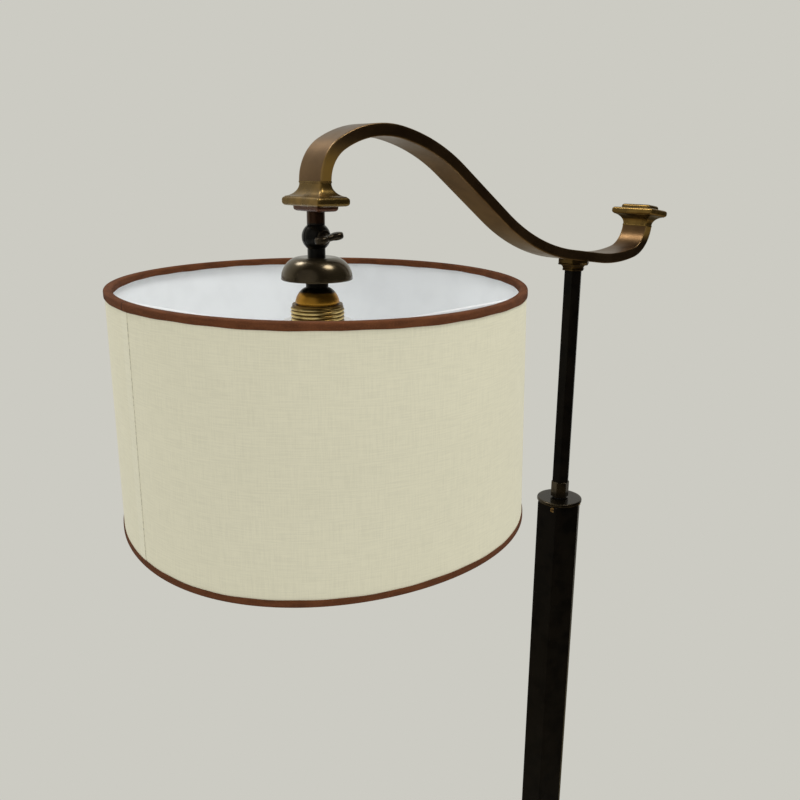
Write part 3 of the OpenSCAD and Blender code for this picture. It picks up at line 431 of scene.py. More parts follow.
materials = {
    "column": bronze("column_bronze", rgb(3, 2, 1), rgb(8, 6, 3), rgb(30, 23, 14),
                     0.0, 0.42, 0.2, 30.0, 0.07),
    # The bar's narrow sides carry painted golden light near both ends, with less metal there
    "bar": bronze("bar_bronze", rgb(94, 71, 46), rgb(118, 92, 62), rgb(170, 142, 98),
                  lambda tree: 1 - painted_end_glow(tree) * 0.4, 0.35, 0.22, 16.0,
                  second_tone=(painted_end_glow, rgb(150, 116, 50))),
    "casting": bronze("casting_bronze", rgb(94, 73, 33), rgb(126, 98, 46), rgb(164, 134, 76),
                      0.88, 0.28, 0.30, 60.0),
    # A darker, redder copy of the casting's bronze: painted shade for the step under the lamp end's
    # plate
    "step": bronze("shaded_step_bronze", rgb(66, 36, 22), rgb(90, 52, 32), rgb(140, 96, 62),
                   0.6, 0.30, 0.3, 60.0),
    "collar": bronze("collar_bronze", rgb(46, 33, 13), rgb(72, 54, 24), rgb(130, 104, 58),
                     0.9, 0.30, 0.3, 60.0),
    "cap": bronze("cap_bronze", rgb(34, 28, 19), rgb(50, 42, 30), rgb(108, 96, 74),
                  0.9, 0.22, 0.3, 45.0),
    "knuckle": bronze("knuckle_bronze", rgb(20, 19, 16), rgb(34, 31, 26), rgb(84, 74, 56),
                      0.8, 0.30, 0.2, 80.0, second_tone=(upper_stem, rgb(60, 37, 18))),
    "wing": bronze("wing_bronze", rgb(46, 39, 29), rgb(66, 57, 43), rgb(112, 98, 74),
                   0.9, 0.34, 0.25, 120.0),
    "foot": bronze("foot_bronze", rgb(26, 19, 12), rgb(40, 30, 19), rgb(94, 72, 44),
                   0.4, 0.36, 0.35, 12.0, 0.35),
    "bell": finish_material(
        "bell_lacquer",
        Base_Color=lambda tree: tree.mix(
            tree.noise(50, 4).step(0.35, 0.7), rgb(68, 58, 40), rgb(88, 76, 54)),
        Roughness=lambda tree: tree.noise(160, 3) * 0.12 + 0.18,
        Normal=lambda tree: tree.bump(tree.noise(220, 3), 0.00006, 0.5),
        Metallic=0.88, Coat_Weight=0.25, Coat_Roughness=0.18,
    ),
    # The holder's neck and upper dome are painted nearly black: shade and dark reflection under the
    # bell
    "brass": plain_metal("aged_brass", rgb(200, 146, 54), 0.34, 0.6, 0.15,
                         (bell_shade_mask, rgb(22, 16, 7))),
    # The thread's dark tones are the brass darkened as painted shade in its grooves, its light tone
    # a painted highlight on the crests
    "thread": bronze("thread_brass", rgb(92, 70, 30), rgb(118, 92, 46), rgb(226, 200, 132),
                     1.0, 0.36, 1.3, 60.0),
    "screw": plain_metal("screw_brass", rgb(190, 156, 104), 0.36),
    "steel": plain_metal("zinc_steel", rgb(164, 164, 168), 0.36),
    "iron": painted("cast_iron", rgb(52, 52, 54), 0.7, 160.0, 0.0004),
    "felt": painted("dark_felt", rgb(46, 56, 44), 0.95, 1400.0, 0.0006, Sheen_Weight=0.3),
    "black": painted("black_plastic", rgb(22, 22, 22), 0.5),
    "white": painted("white_enamel", rgb(226, 228, 228), 0.4),
    "ceramic": painted("white_ceramic", rgb(232, 230, 222), 0.22, Coat_Weight=0.4),
    "liner": painted("white_liner", rgb(245, 248, 249), 0.5, 60.0, 0.00005),
    "linen": linen("cream_linen", rgb(222, 218, 192), 0.00055),
    "tape": tape("brown_tape", rgb(102, 60, 34), 0.0009),
}


# ---------------------------------------------------------------- surfaces

# How far wear reaches from an edge, in metres, and the points on each corner of a moulding
WEAR_REACH = 0.0016
CORNER_POINTS = 5


def build(name, body, material, points, faces, edge=None, uv=None, sharp=38.0):
    """Puts points and faces into a mesh, turned outwards, smooth but for its sharp edges.

    The volume under each face, by the divergence rule, tells whether the faces point outwards.
    sharp is the bend, in degrees, from which an edge stays sharp.
    """
    corners = [np.asarray(face) for face in faces]
    volume = 0.0
    for face in corners:
        first, second, third = points[face[:, 0]], points[face[:, 1]], points[face[:, 2]]
        volume += np.einsum("ij,ij->i", first, np.cross(second, third)).sum()
        if face.shape[1] == 4:
            fourth = points[face[:, 3]]
            volume += np.einsum("ij,ij->i", first, np.cross(third, fourth)).sum()
    if volume < 0:
        corners = [face[:, ::-1] for face in corners]
    mesh = bpy.data.meshes.new(name)
    mesh.from_pydata(points, [], [row for face in corners for row in face.tolist()])
    mesh.validate()
    mesh.shade_smooth()
    mesh.set_sharp_from_angle(angle=math.radians(sharp))
    layer = mesh.attributes.new("edge", "FLOAT", "POINT")
    layer.data.foreach_set("value", np.zeros(len(points)) if edge is None else edge)
    if uv is not None:
        loops = np.empty(len(mesh.loops), dtype=np.int32)
        mesh.loops.foreach_get("vertex_index", loops)
        mesh.uv_layers.new(name="map").data.foreach_set("uv", uv[loops].ravel())
    mesh.materials.append(materials[material])
    piece = bpy.data.objects.new(name, mesh)
    bpy.context.scene.collection.objects.link(piece)
    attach(piece, body)
    return piece


def grid_faces(rows, columns, wrap_rows=False, wrap_columns=True):
    """Four-sided faces between neighbouring points of a grid, which may close on itself."""
    row = np.arange(rows if wrap_rows else rows - 1)[:, None]
    column = np.arange(columns if wrap_columns else columns - 1)[None, :]
    next_row = (row + 1) % rows
    next_column = (column + 1) % columns
    return np.stack([
        row * columns + column, row * columns + next_column,
        next_row * columns + next_column, next_row * columns + column,
    ], -1).reshape(-1, 4)


def round_angles(count):
    """Angles evenly round a circle, as a row."""
    return np.linspace(0, 2 * math.pi, count, endpoint=False)[None]


def turned(radius, angle, z, axis=LAMP_AXIS):
    """Points at their radius and angle about an upright axis, and at their height."""
    return np.stack([
        axis[0] + radius * np.cos(angle), axis[1] + radius * np.sin(angle), z + 0 * angle,
    ], -1).reshape(-1, 3)


def closed_tube(points, rows, columns):
    """The points and faces of a tube, with fans on new points in the middle of its end rings."""
    column = np.arange(columns)
    after = (column + 1) % columns
    faces = [grid_faces(rows, columns)]
    for row in (0, rows - 1):
        base = row * columns
        points = np.vstack([points, points[base:base + columns].mean(0)])
        hub = np.full(columns, len(points) - 1)
        pair = (base + after, base + column) if row == 0 else (base + column, base + after)
        faces.append(np.stack([*pair, hub], -1))
    return points, faces


def edge_of(profile, closed):
    """How near each profile point is to a corner of the profile, from 0 to 1.

    A corner counts in full from 0.35 radians of bend on, and fades over the reach of wear.
    """
    before, after = np.roll(profile, 1, 0), np.roll(profile, -1, 0)
    if not closed:
        before[0], after[-1] = profile[0], profile[-1]
    into, out = profile - before, after - profile
    bend = np.abs(np.arctan2(
        into[:, 0] * out[:, 1] - into[:, 1] * out[:, 0], (into * out).sum(1)))
    gaps = np.linalg.norm(profile[:, None] - profile[None], axis=2)
    weight = np.clip(1 - gaps / WEAR_REACH, 0, 1) * np.clip(bend / 0.35, 0, 1)[None]
    return weight.max(1)


def rounded(corners, steps=4):
    """An outline with its corners rounded: each corner is (x, y, radius).

    A corner becomes steps + 1 points on the arc that touches both of its sides, and a point is
    kept on each side at 1.5 mm from the arc where there is room.
    """
    count = len(corners)
    outline = []
    for i, (x, y, radius) in enumerate(corners):
        here = np.array([x, y], float)
        sides = []
        for j in (i - 1, (i + 1) % count):
            other = np.array(corners[j][:2], float)
            sides.append((other - here, corners[j][2]))
        (back, back_r), (ahead, ahead_r) = sides
        back_len, ahead_len = np.linalg.norm(back), np.linalg.norm(ahead)
        back, ahead = back / back_len, ahead / ahead_len
        if radius <= 0:
            outline.append(here)
            continue
        half = math.acos(np.clip(back @ ahead, -1, 1)) / 2
        reach = min(radius / math.tan(half), 0.49 * back_len, 0.49 * ahead_len)
        true_r = reach * math.tan(half)
        middle = (back + ahead) / np.linalg.norm(back + ahead)
        centre = here + middle * true_r / math.sin(half)
        start, end = here + back * reach - centre, here + ahead * reach - centre
        a0, a1 = math.atan2(start[1], start[0]), math.atan2(end[1], end[0])
        sweep = (a1 - a0 + math.pi) % (2 * math.pi) - math.pi
        angles = a0 + sweep * np.linspace(0, 1, steps + 1)
        arc = centre + true_r * np.stack([np.cos(angles), np.sin(angles)], -1)
        spare = 0.0015
        if back_len - reach - back_r > 2 * spare:
            outline.append(here + back * (reach + spare))
        outline.extend(arc)
        if ahead_len - reach - ahead_r > 2 * spare:
            outline.append(here + ahead * (reach + spare))
    return np.array(outline)


def lathe(name, body, material, profile, axis=(0, 0), turns=96, closed=False):
    """A profile of (radius, height) points turned about an upright axis.

    An open profile is closed on the axis by fans. A closed profile makes a ring.
    """
    profile = np.asarray(profile, float)
    points = turned(profile[:, :1], round_angles(turns), profile[:, 1:], axis)
    edge = np.repeat(edge_of(profile, closed), turns)
    if closed:
        faces = [grid_faces(len(profile), turns, wrap_rows=True)]
    else:
        points, faces = closed_tube(points, len(profile), turns)
        edge = np.append(edge, [0, 0])
    return build(name, body, material, points, faces, edge)


def moulding(name, body, material, profile, normals, apothems, corner, place=None, hollow=None):
    """A profile of (outset, height) points carried round a polygon with rounded corners.

    The polygon's sides have the given directions and distances from the axis, and each outset
    moves them all outwards. A corner's arc is centred where the sides, moved in by its radius,
    cross. place, if given, turns the finished points into the model's frame. hollow, if given,
    is the heights between which shade is painted into the colour.
    """
    profile = np.asarray(profile, float)
    normals = np.radians(normals)
    apothems = np.asarray(apothems, float)
    after = np.roll(normals, -1)
    swing = (after - normals) % (2 * math.pi)
    shares = np.linspace(0, 1, CORNER_POINTS)
    angle = normals[:, None] + swing[:, None] * shares[None]
    sides = apothems[None] + profile[:, :1]
    inset = np.minimum(corner, 0.9 * sides.min(1, keepdims=True))
    near, far = sides - inset, np.roll(sides - inset, -1, 1)
    determinant = np.sin(swing)[None]
    x = (near * np.sin(after) - far * np.sin(normals)) / determinant
    y = (far * np.cos(normals) - near * np.cos(after)) / determinant
    points = np.stack([
        x[:, :, None] + inset[:, :, None] * np.cos(angle)[None],
        y[:, :, None] + inset[:, :, None] * np.sin(angle)[None],
        np.broadcast_to(profile[:, 1][:, None, None], (len(profile), *angle.shape)),
    ], -1).reshape(len(profile), -1, 3)
    # Each side also gets points next to its corners, so that worn edges stay narrow
    flat, columns, tag = [], points.shape[1], []
    for i in range(columns):
        flat.append(points[:, i])
        tag.append(1.0)
        if (i + 1) % CORNER_POINTS == 0:
            to = points[:, (i + 1) % columns]
            length = np.linalg.norm(to - points[:, i], axis=1, keepdims=True)
            share = np.clip(WEAR_REACH / np.maximum(length, 1e-9), 0, 0.45)
            for part in (share, 1 - share):
                flat.append(points[:, i] + (to - points[:, i]) * part)
                tag.append(0.0)
    points = np.stack(flat, 1)
    rows, columns = points.shape[:2]
    edge = np.maximum(edge_of(profile, False)[:, None], np.array(tag)[None])
    # Painted shade: points in the hollow get -1, which the bronze paints dark
    if hollow is not None:
        deep = np.abs(profile[:, 1] - sum(hollow) / 2) < (hollow[1] - hollow[0]) / 2
        edge[deep] = -1
    points, faces = closed_tube(points.reshape(-1, 3), rows, columns)
    if place is not None:
        points = place(points)
    return build(name, body, material, points, faces, np.append(edge, [0, 0]))


def hexagon(name, body, material, profile, flat, corner, turn=COLUMN_TURN):
    """A moulding round a hexagon, with the distance from its axis to its flats."""
    return moulding(name, body, material, profile, (np.arange(6) * 60.0 + turn) % 360,
                    [flat] * 6, corner)


def bevelled(bottom, height, inset, bevel):
    """The profile of a plain band with bevelled edges, whose ends start at the inset."""
    top = bottom + height
    return [(-inset, bottom), (-bevel, bottom), (0, bottom + bevel),
            (0, top - bevel), (-bevel, top), (-inset, top)]


def strap(name, body, material, path, section):
    """A closed section of (offset, width) points carried along a path of (x, z, heading)."""
    heading = path[:, 2:3]
    offset, width = section[:, 0][None], section[:, 1][None]
    points = np.stack([
        path[:, :1] - np.sin(heading) * offset,
        width + 0 * heading,
        path[:, 1:2] + np.cos(heading) * offset,
    ], -1).reshape(-1, 3)
    points, faces = closed_tube(points, len(path), len(section))
    edge = np.append(np.tile(edge_of(section, True), len(path)), [0, 0])
    return build(name, body, material, points, faces, edge)


# ---------------------------------------------------------------- the arm's path

def walk(start, steps):
    """Places (x, z, heading) along steps of (radius, turn in degrees), or (0, length).

    On a straight the place moves by its length along the heading. On a bend it moves round a
    centre at the radius to the left, for a turn above 0, or to the right. Places lie about the
    spacing apart, and closer on a tight bend.
    """
    spacing = 0.0025
    x, z, heading = start[0], start[1], math.radians(start[2])
    places = [np.array([[x, z, heading]])]
    for radius, amount in steps:
        if radius == 0:
            share = np.linspace(0, 1, max(2, int(amount / spacing)))[1:]
            run = np.stack([
                x + amount * share * math.cos(heading),
                z + amount * share * math.sin(heading),
                np.full(len(share), heading),
            ], -1)
        else:
            turn = math.radians(amount)
            count = max(6, int(abs(turn) * radius / spacing), int(abs(amount) / 2))
            share = np.linspace(0, 1, count)[1:]
            side = math.copysign(radius, turn)
            now = heading + turn * share
            run = np.stack([
                x + side * (np.sin(now) - math.sin(heading)),
                z - side * (np.cos(now) - math.cos(heading)), now,
            ], -1)
        places.append(run)
        x, z, heading = run[-1]
    return np.vstack(places)


# Degrees: the bar's slope each way from its seat, the arm's steepest, the finial's off upright
SLOPE = 7.5
ARM_SLOPE = 36.0
FINIAL_LEAN = 8.0
to_finial = walk((0, SEAT_Z, -SLOPE), [
    (0, 0.0236), (0.150, 20.0), (0.029, 90 - FINIAL_LEAN + SLOPE - 20.0),
])


def lamp_walk(straight):
    """The bar's path from its seat to the lamp's end, with a straight stretch of a given length."""
    return walk((0, SEAT_Z, 180 - SLOPE), [
        (0, 0.019), (0.200, SLOPE - ARM_SLOPE), (0, straight), (0.160, 24.5), (0.080, 41.0),
        (0.030, 90 + ARM_SLOPE - 24.5 - 41.0),
    ])


# The arm's straight stretch takes up what is left of the reach after a first guess
straight = 0.05
left = REACH + lamp_walk(straight)[-1, 0]
to_lamp = lamp_walk(straight + left / math.cos(math.radians(ARM_SLOPE)))
back = to_finial[::-1].copy()
back[:, 2] += math.pi
bar_path = np.vstack([back[:-1], to_lamp[1:]])
bar_section = rounded([
    (side * BAR_THICK / 2, edge * BAR_WIDE / 2, 0.0009)
    for side, edge in ((-1, -1), (1, -1), (1, 1), (-1, 1))
])
arm = strap("bar", "arm", "bar", bar_path, bar_section)
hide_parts("arm_bar")
boss = hexagon("bar_boss", "arm", "collar", [
    (-0.001, BOSS_FOOT), (0, BOSS_FOOT + 0.0001), (0, SEAT_Z - 0.003), (-0.001, SEAT_Z - 0.003),
], BOSS_FLAT, 0.001)


# ---------------------------------------------------------------- the stepped ends of the arm

def arc_points(centre_x, centre_z, radius, start, end, steps):
    """Evenly spaced points on an arc: the centre plus the radius at each angle, in degrees."""
    angle = np.radians(np.linspace(start, end, steps))
    return np.stack([centre_x + radius * np.cos(angle), centre_z + radius * np.sin(angle)], -1)


def at_end(end):
    """Puts points drawn upwards from level 0 at an end of the bar, along its heading."""
    x, z, heading = end
    lean = math.pi / 2 - heading
    ahead = np.array([math.sin(lean), 0, math.cos(lean)])
    side = np.array([math.cos(lean), 0, -math.sin(lean)])

    def place(points):
        across, wide, up = points[:, :1], points[:, 1:2], points[:, 2:]
        return np.array([x, 0, z]) + across * side + wide * [[0, 1, 0]] + up * ahead

    return place


# Heights of the casting's neck, flare and plate, and of the step on the plate. Their profiles
# count outwards from the faces of the bar and from the sides of the step.
NECK, FLARE, PLATE, STEP = 0.0016, 0.0094, 0.0065, 0.0039
NOSING = 0.0025
flare_profile = np.vstack([
    [(0.0, 0.0), (0.0003, 0.0002), (0.0003, 0.0012), (0.0, NECK)],
    arc_points(FLARE, NECK, FLARE, 180, 100, 12),
    arc_points(FLARE - NOSING, NECK + FLARE + NOSING, NOSING, -68, 0, 7),
    arc_points(FLARE - NOSING, NECK + FLARE + PLATE - NOSING, NOSING, 0, 82, 7),
    [(FLARE - NOSING - 0.0012, NECK + FLARE + PLATE)],
])
step_bottom = NECK + FLARE + PLATE
step_profile = np.vstack([
    [(-0.0018, 0.0), (-0.0001, 0.0), (0.0002, 0.0003), (0.0002, 0.0014)],
    arc_points(0.0002 - 0.0024, 0.0014, 0.0024, 8, 84, 9),
    [(-0.0042, STEP)],
]) + [0, step_bottom]
SQUARE = (0, 90, 180, 270)
for label, end, top in (("finial", to_finial[-1], True), ("lamp_end", to_lamp[-1], False)):
    place = at_end(end)
    # The finial's flare gets painted shade in the hollow under its plate
    casting = moulding(label + "_flare", "arm", "casting", flare_profile, SQUARE,
                       (BAR_THICK / 2, BAR_WIDE / 2) * 2, 0.0013, place,
                       hollow=(NECK + 0.55 * FLARE, NECK + 1.02 * FLARE) if top else None)
    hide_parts(label)
    # The lamp end's step, under its plate, takes the darker copy as painted shade
    finish = "casting" if top else "step"
    step = moulding(label + "_plinth", "arm", finish, step_profile, SQUARE,
                    (0.0091, 0.0160) * 2, 0.0014, place)
    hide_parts(label + "_step")


# ---------------------------------------------------------------- column, rod and foot

column = hexagon("column_hexagon", "stand", "column",
                 bevelled(FOOT_TOP, COLUMN_TOP - FOOT_TOP, 0.004, 0.0003), COLUMN_FLAT, 0.0012)
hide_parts("column_tube")
rod = hexagon("rod_hexagon", "arm", "column",
              bevelled(ROD_FOOT, ROD_LENGTH, 0.003, 0.0003), ROD_FLAT, 0.0007)
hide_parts("rod_tube")
ferrule = hexagon("ferrule_hexagon", "arm", "cap",
                  bevelled(FERRULE_FOOT, FERRULE_HEIGHT, 0.003, 0.0005), FERRULE_FLAT, 0.0007,
                  FERRULE_TURN)
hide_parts("rod_ferrule")

collar_profile = np.vstack([
    [(-0.003, 0.0), (-0.0004, 0.0), (0.0, 0.0004), (0.0, 0.0015), (-0.0004, 0.002)],
    arc_points(0.0035, 0.002, 0.0037, 178, 100, 10),
    arc_points(0.0041 - 0.0008, 0.0063, 0.0008, -80, 0, 5),
    arc_points(0.0041 - 0.0008, 0.0065, 0.0008, 0, 90, 5),
    [(-0.003, 0.0073)],
]) + [0, COLLAR_FOOT]
collar = hexagon("collar_moulding", "arm", "collar", collar_profile, COLLAR_FLAT, 0.0009)
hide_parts("arm_collar")

cap = lathe("cap_disc", "stand", "cap", rounded([
    (0.0, COLUMN_TOP, 0), (0.0222, COLUMN_TOP, 0.0004), (0.0222, COLUMN_TOP + 0.0005, 0.0001),
    (CAP_RADIUS, COLUMN_TOP + 0.0007, 0.0003), (CAP_RADIUS, CAP_TOP, 0.0010), (0.0, CAP_TOP, 0),
])[1:-1])
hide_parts("column_cap")

foot_profile = rounded([
    (0.0, FELT_TOP, 0), (FOOT_RADIUS, FELT_TOP, 0.0004), (FOOT_RADIUS, FOOT_STEP, 0.004),
    (FOOT_STEP_RADIUS, FOOT_STEP, 0.0012), (FOOT_STEP_RADIUS, FOOT_TOP, 0.004),
    (0.0, FOOT_TOP, 0),
], 6)[1:-1]
foot = lathe("foot_shell", "stand", "foot", foot_profile, turns=160)
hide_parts("foot_skin")

plinth_profile = np.vstack([
    [(-0.004, 0.0), (0.0148, 0.0)],
    arc_points(0.013, 0.002, 0.002, -60, 0, 4), arc_points(0.013, 0.005, 0.002, 0, 90, 5),
    [(0.0112, 0.0071)],
    arc_points(0.015, 0.019, 0.012, 268, 181, 14),
    [(0.003, 0.0195)],
    arc_points(0.002, 0.025, 0.001, 0, 90, 5),
    [(-0.002, 0.026)],
]) + [0, FOOT_TOP]
plinth = hexagon("plinth_moulding", "stand", "foot", plinth_profile, PLINTH_FLAT, 0.0014)
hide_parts("column_plinth")


# ---------------------------------------------------------------- wing screw, bell, lampholder

def wing_screw():
    """Boss and shank turned about the screw's axis, and two leaves in one flattened form.

    The leaves' half height is the larger of two circles' at each place along their length, and
    their half thickness swells with it. Each cross-section is a rounded oval. The leaves are
    turned about the screw's axis, with the one on the column's side raised.
    """
    outline = rounded([
        (0.0, 0.0, 0), (0.00245, 0.0, 0.0002), (0.00245, 0.0184, 0.0001),
        (0.0055, 0.0184, 0.0005), (0.0055, 0.0211, 0.0009), (0.0033, 0.0213, 0.0003),
        (0.0030, 0.0226, 0.0006), (0.0022, 0.0236, 0.001), (0.0, 0.0238, 0),
    ], 3)[1:-1]
    inner_end, leaves_at = 0.0096, -0.01645
    sides, leaf_sides = 40, 36
    angle = round_angles(sides)
    shaft = np.stack([
        outline[:, :1] * np.cos(angle), inner_end - outline[:, 1:] + 0 * angle,
        outline[:, :1] * np.sin(angle),
    ], -1).reshape(-1, 3)
    shaft, faces = closed_tube(shaft, len(outline), sides)
    tip, lobe, radius = 0.0117, 0.0067, 0.0050
    along = tip * np.sin(np.linspace(-math.pi / 2, math.pi / 2, 49))
    height = np.sqrt(np.clip(radius ** 2 - (np.abs(along) - lobe) ** 2, 0, None))
    height = np.maximum(height, np.where(np.abs(along) < lobe, 0.0029 + 0.05 * np.abs(along), 0))
    thick = 0.0016 + 0.0012 * height / radius
    ring = round_angles(leaf_sides)

    def oval(share):
        return np.sign(share) * np.abs(share) ** 0.7

    leaf = np.stack([
        along[1:-1, None] + 0 * ring,
        leaves_at + height[1:-1, None] * oval(np.cos(ring)),
        thick[1:-1, None] * oval(np.sin(ring)),
    ], -1).reshape(-1, 3)
    leaf, more = closed_tube(leaf, len(along) - 2, leaf_sides)
    lean = math.radians(WING_TURN)
    leaf = np.stack([
        leaf[:, 0] * math.cos(lean) - leaf[:, 2] * math.sin(lean), leaf[:, 1],
        leaf[:, 0] * math.sin(lean) + leaf[:, 2] * math.cos(lean),
    ], -1)
    faces += [face + len(shaft) for face in more]
    points = np.vstack([shaft, leaf]) + [-REACH, 0, BALL_Z]
    edge = np.concatenate([np.zeros(len(shaft)), np.full(len(leaf), 0.4)])
    return build("wing_screw_leaves", "wing", "wing", points, faces, edge, sharp=50)


screw = wing_screw()
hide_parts("wing_screw")

# The bell: a quarter of an ellipse round a flat top, in an outer and an inner skin
dome = arc_points(0, 0, 1, 90, 0, 22)
mouth = BELL_TOP - BELL_HEIGHT
bell_outer, bell_inner = (
    np.stack([0.0123 + wide * dome[:, 0], mouth + high * dome[:, 1]], -1)
    for wide, high in ((0.0142, BELL_HEIGHT), (0.0130, 0.0153))
)
bell_profile = np.vstack([
    [(0.005, BELL_TOP)], bell_outer[:-1],
    [(0.0265, mouth + 0.0004), (0.0262, mouth), (0.0255, mouth)],
    bell_inner[::-1][1:], [(0.005, BELL_TOP - 0.0012)],
])
bell = lathe("bell_shell", "head", "bell", bell_profile, LAMP_AXIS, 112, closed=True)
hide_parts("bell_cap")

# The holder from its neck under the bell down over a bead and a full shoulder, and back inside
neck_top = BELL_TOP - 0.0012
FULLNESS = 1.25
holder_profile = np.vstack([
    [(0.0051, neck_top), (0.0080, neck_top), (0.0083, neck_top - 0.0003)],
    [(0.0083, SKIRT_TOP + 0.0205), (0.0089, SKIRT_TOP + 0.0201), (0.0089, SKIRT_TOP + 0.0181),
     (0.0083, SKIRT_TOP + 0.0177), (0.0083, SKIRT_TOP + 0.0124)],
    dome[1:] ** FULLNESS * [0.0081, 0.0108] + [0.0083, SKIRT_TOP + 0.0012],
    [(0.0161, SKIRT_TOP + 0.0009), (0.0150, SKIRT_TOP + 0.0009), (0.0150, SKIRT_TOP)],
    [(0.0142, SKIRT_TOP), (0.0142, SKIRT_TOP + 0.0012), (0.0062, SKIRT_TOP + 0.0085),
     (0.0051, SKIRT_TOP + 0.0090)],
])
holder = lathe("lampholder_shell", "head", "brass", holder_profile, LAMP_AXIS, 80, closed=True)
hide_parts("lampholder_dome")


def threaded_skirt():
    """A tube whose outside carries a helical thread.

    The outer radius is the root plus a rounded tooth, which follows the height over the pitch
    less the share of a turn, and is faded out at both ends. A painted highlight lies on the
    thread's crest, and its grooves keep the darker tone as painted shade.
    """
    top, mouth = SKIRT_TOP, SKIRT_FOOT
    turns, rows_a_turn, pitch, root, tooth = 96, 14, 0.0028, 0.0189, 0.0011
    rows = int((top - mouth) / pitch * rows_a_turn)
    height = np.linspace(mouth + 0.0004, top - 0.0006, rows)[:, None]
    angle = round_angles(turns)
    shape = np.abs(np.cos(math.pi * height / pitch - angle / 2)) ** 0.8
    fade = np.clip((top - 0.0012 - height) / 0.002, 0, 1)
    fade = fade * np.clip((height - mouth - 0.001) / 0.002, 0, 1)
    lower = np.array([(0.0181, mouth), (root - 0.0002, mouth)])
    upper = np.array([
        (root - 0.0002, top), (0.0145, top), (0.0145, top - 0.0012), (0.0181, top - 0.0012),
    ])
    radius = np.vstack([
        lower[:, :1] + 0 * angle, root + tooth * shape * fade, upper[:, :1] + 0 * angle,
    ])
    points = turned(radius, angle, np.vstack([lower[:, 1:], height, upper[:, 1:]]))
    # How much painted highlight each point gets: most on the crest
    crest = np.vstack([
        np.zeros((len(lower), turns)), (shape * fade) ** 2, np.zeros((len(upper), turns)),
    ])
    return build("skirt_thread", "head", "thread", points,
                 [grid_faces(len(radius), turns, wrap_rows=True)], crest.ravel(), sharp=50)


skirt = threaded_skirt()
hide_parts("lampholder_skirt")


# ---------------------------------------------------------------- the shade

# Where the seam lies, the thickness of the cover, the liner, the wire and the tape, the depth
# of a rim under its tape, and the tape's height on the wall
SEAM = math.radians(182.5)
COVER, LINER, WIRE, TAPE = 0.0008, 0.0005, 0.0032, 0.0007
RIM = COVER + LINER + WIRE + 0.0002
BINDING = 0.0046
# The middle of a rim's wire, outside the cover's face and above the edge
WIRE_IN = -COVER - LINER - 0.0001 - WIRE / 2
WIRE_DOWN = -0.0001 - WIRE / 2


def wall_angles(turns):
    """Angles round the shade, starting and ending at the cover's seam."""
    return SEAM + np.linspace(0, 2 * math.pi, turns + 1)[None]


# How the photographed shade stands, as waves round its top and its foot, outwards and upwards.
# Each wave is (number round the shade, share of its cosine, share of its sine) in millimetres.
TOP_OUT = ((1, 3.1, -0.3), (2, 0.3, 0.1), (3, 0.3, 0.4))
TOP_UP = ((0, -0.6, 0.0), (1, 1.0, 2.4), (2, 0.3, -0.2))
FOOT_OUT = ((1, 3.1, -0.5), (2, 0.0, -1.5), (3, 1.4, -1.9))
FOOT_UP = ((0, 1.3, 0.0), (1, 0.7, 1.6), (2, -0.2, -2.0), (3, 1.0, 0.6))


def hang(angle, z):
    """How far the shade's wall stands outwards and upwards of a round and level one.

    The waves of the foot fade into those of the top with the height.
    """
    share = (z - SHADE_FOOT) / (SHADE_TOP - SHADE_FOOT)

    def waves(terms):
        return MM * sum(a * np.cos(n * angle) + b * np.sin(n * angle) for n, a, b in terms)

    return [share * waves(top) + (1 - share) * waves(foot)
            for top, foot in ((TOP_OUT, FOOT_OUT), (TOP_UP, FOOT_UP))]


def shade_radius(z):
    """The cover's radius at its top, which widens evenly by its spread down to the foot."""
    return SHADE_RADIUS + SHADE_SPREAD * (SHADE_TOP - z) / (SHADE_TOP - SHADE_FOOT)


def wall_piece(name, material, depth, thick, lap):
    """A skin of the shade's wall, whose end laps over its start at the seam.

    The radius is the shade's, less the skin's depth, plus the waves and the lap's step. The
    outer and inner faces are joined at the edges and at the lap's end. The map counts metres
    round the wall and up it.
    """
    turns, rows = 360, 24
    angle = wall_angles(turns)
    z = np.linspace(SHADE_FOOT, SHADE_TOP, rows)[:, None]
    along = (angle - SEAM) * MAP_RADIUS + 0 * z
    step = np.clip((along - 2 * HALF_ROUND + LAP) / 0.002, 0, 1) * lap
    out, up = hang(angle, z)
    outer = shade_radius(z) - depth + out + step
    points = np.vstack([turned(radius, angle, z + up) for radius in (outer, outer - thick)])
    columns = turns + 1
    count = rows * columns
    ring = np.arange(columns - 1)
    side = np.arange(rows - 1) * columns
    last = (rows - 1) * columns
    rims = [
        np.stack([b, a, a + count, b + count], -1)
        for a, b in ((ring, ring + 1), (last + ring + 1, last + ring), (side + columns, side),
                     (side + columns - 1, side + 2 * columns - 1))
    ]
    face = grid_faces(rows, columns, wrap_columns=False)
    uv = np.stack([along, z + 0 * angle], -1).reshape(-1, 2)
    return build(name, "head", material, points, [face, face[:, ::-1] + count, *rims],
                 uv=np.vstack([uv, uv]))


cover = wall_piece("linen_cover", "linen", 0.0, COVER, 0.0002)
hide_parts("shade_cover")
liner = wall_piece("liner_sheet", "liner", COVER, LINER, 0.0)
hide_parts("shade_liner")


def ring_piece(name, material, section, edge_z, up, turns=480):
    """A closed section carried round an edge of the shade.

    The section's points are (distance outside the cover's face, height above the edge), with
    the height turned over at the foot. The edges of a tape's legs waver by fractions of a
    millimetre. The map counts metres round and across the section.
    """
    angle = wall_angles(turns)[:, :-1]
    waver = 0.00020 * np.sin(9 * angle + edge_z * 40) + 0.00012 * np.sin(31 * angle)
    leg = (section[:, 1] < -0.8 * BINDING)[:, None]
    z = edge_z + up * (section[:, 1:] + waver * leg)
    out, rise = hang(angle, z)
    points = turned(shade_radius(z) + out + section[:, :1], angle, z + rise)
    run = np.concatenate([[0], np.cumsum(np.linalg.norm(np.diff(section, axis=0), axis=1))])
    uv = np.stack([(angle - SEAM) * MAP_RADIUS + 0 * z, run[:, None] + 0 * angle], -1)
    return build(name, "head", material, points,
                 [grid_faces(len(section), turns, wrap_rows=True)], uv=uv.reshape(-1, 2),
                 sharp=60)


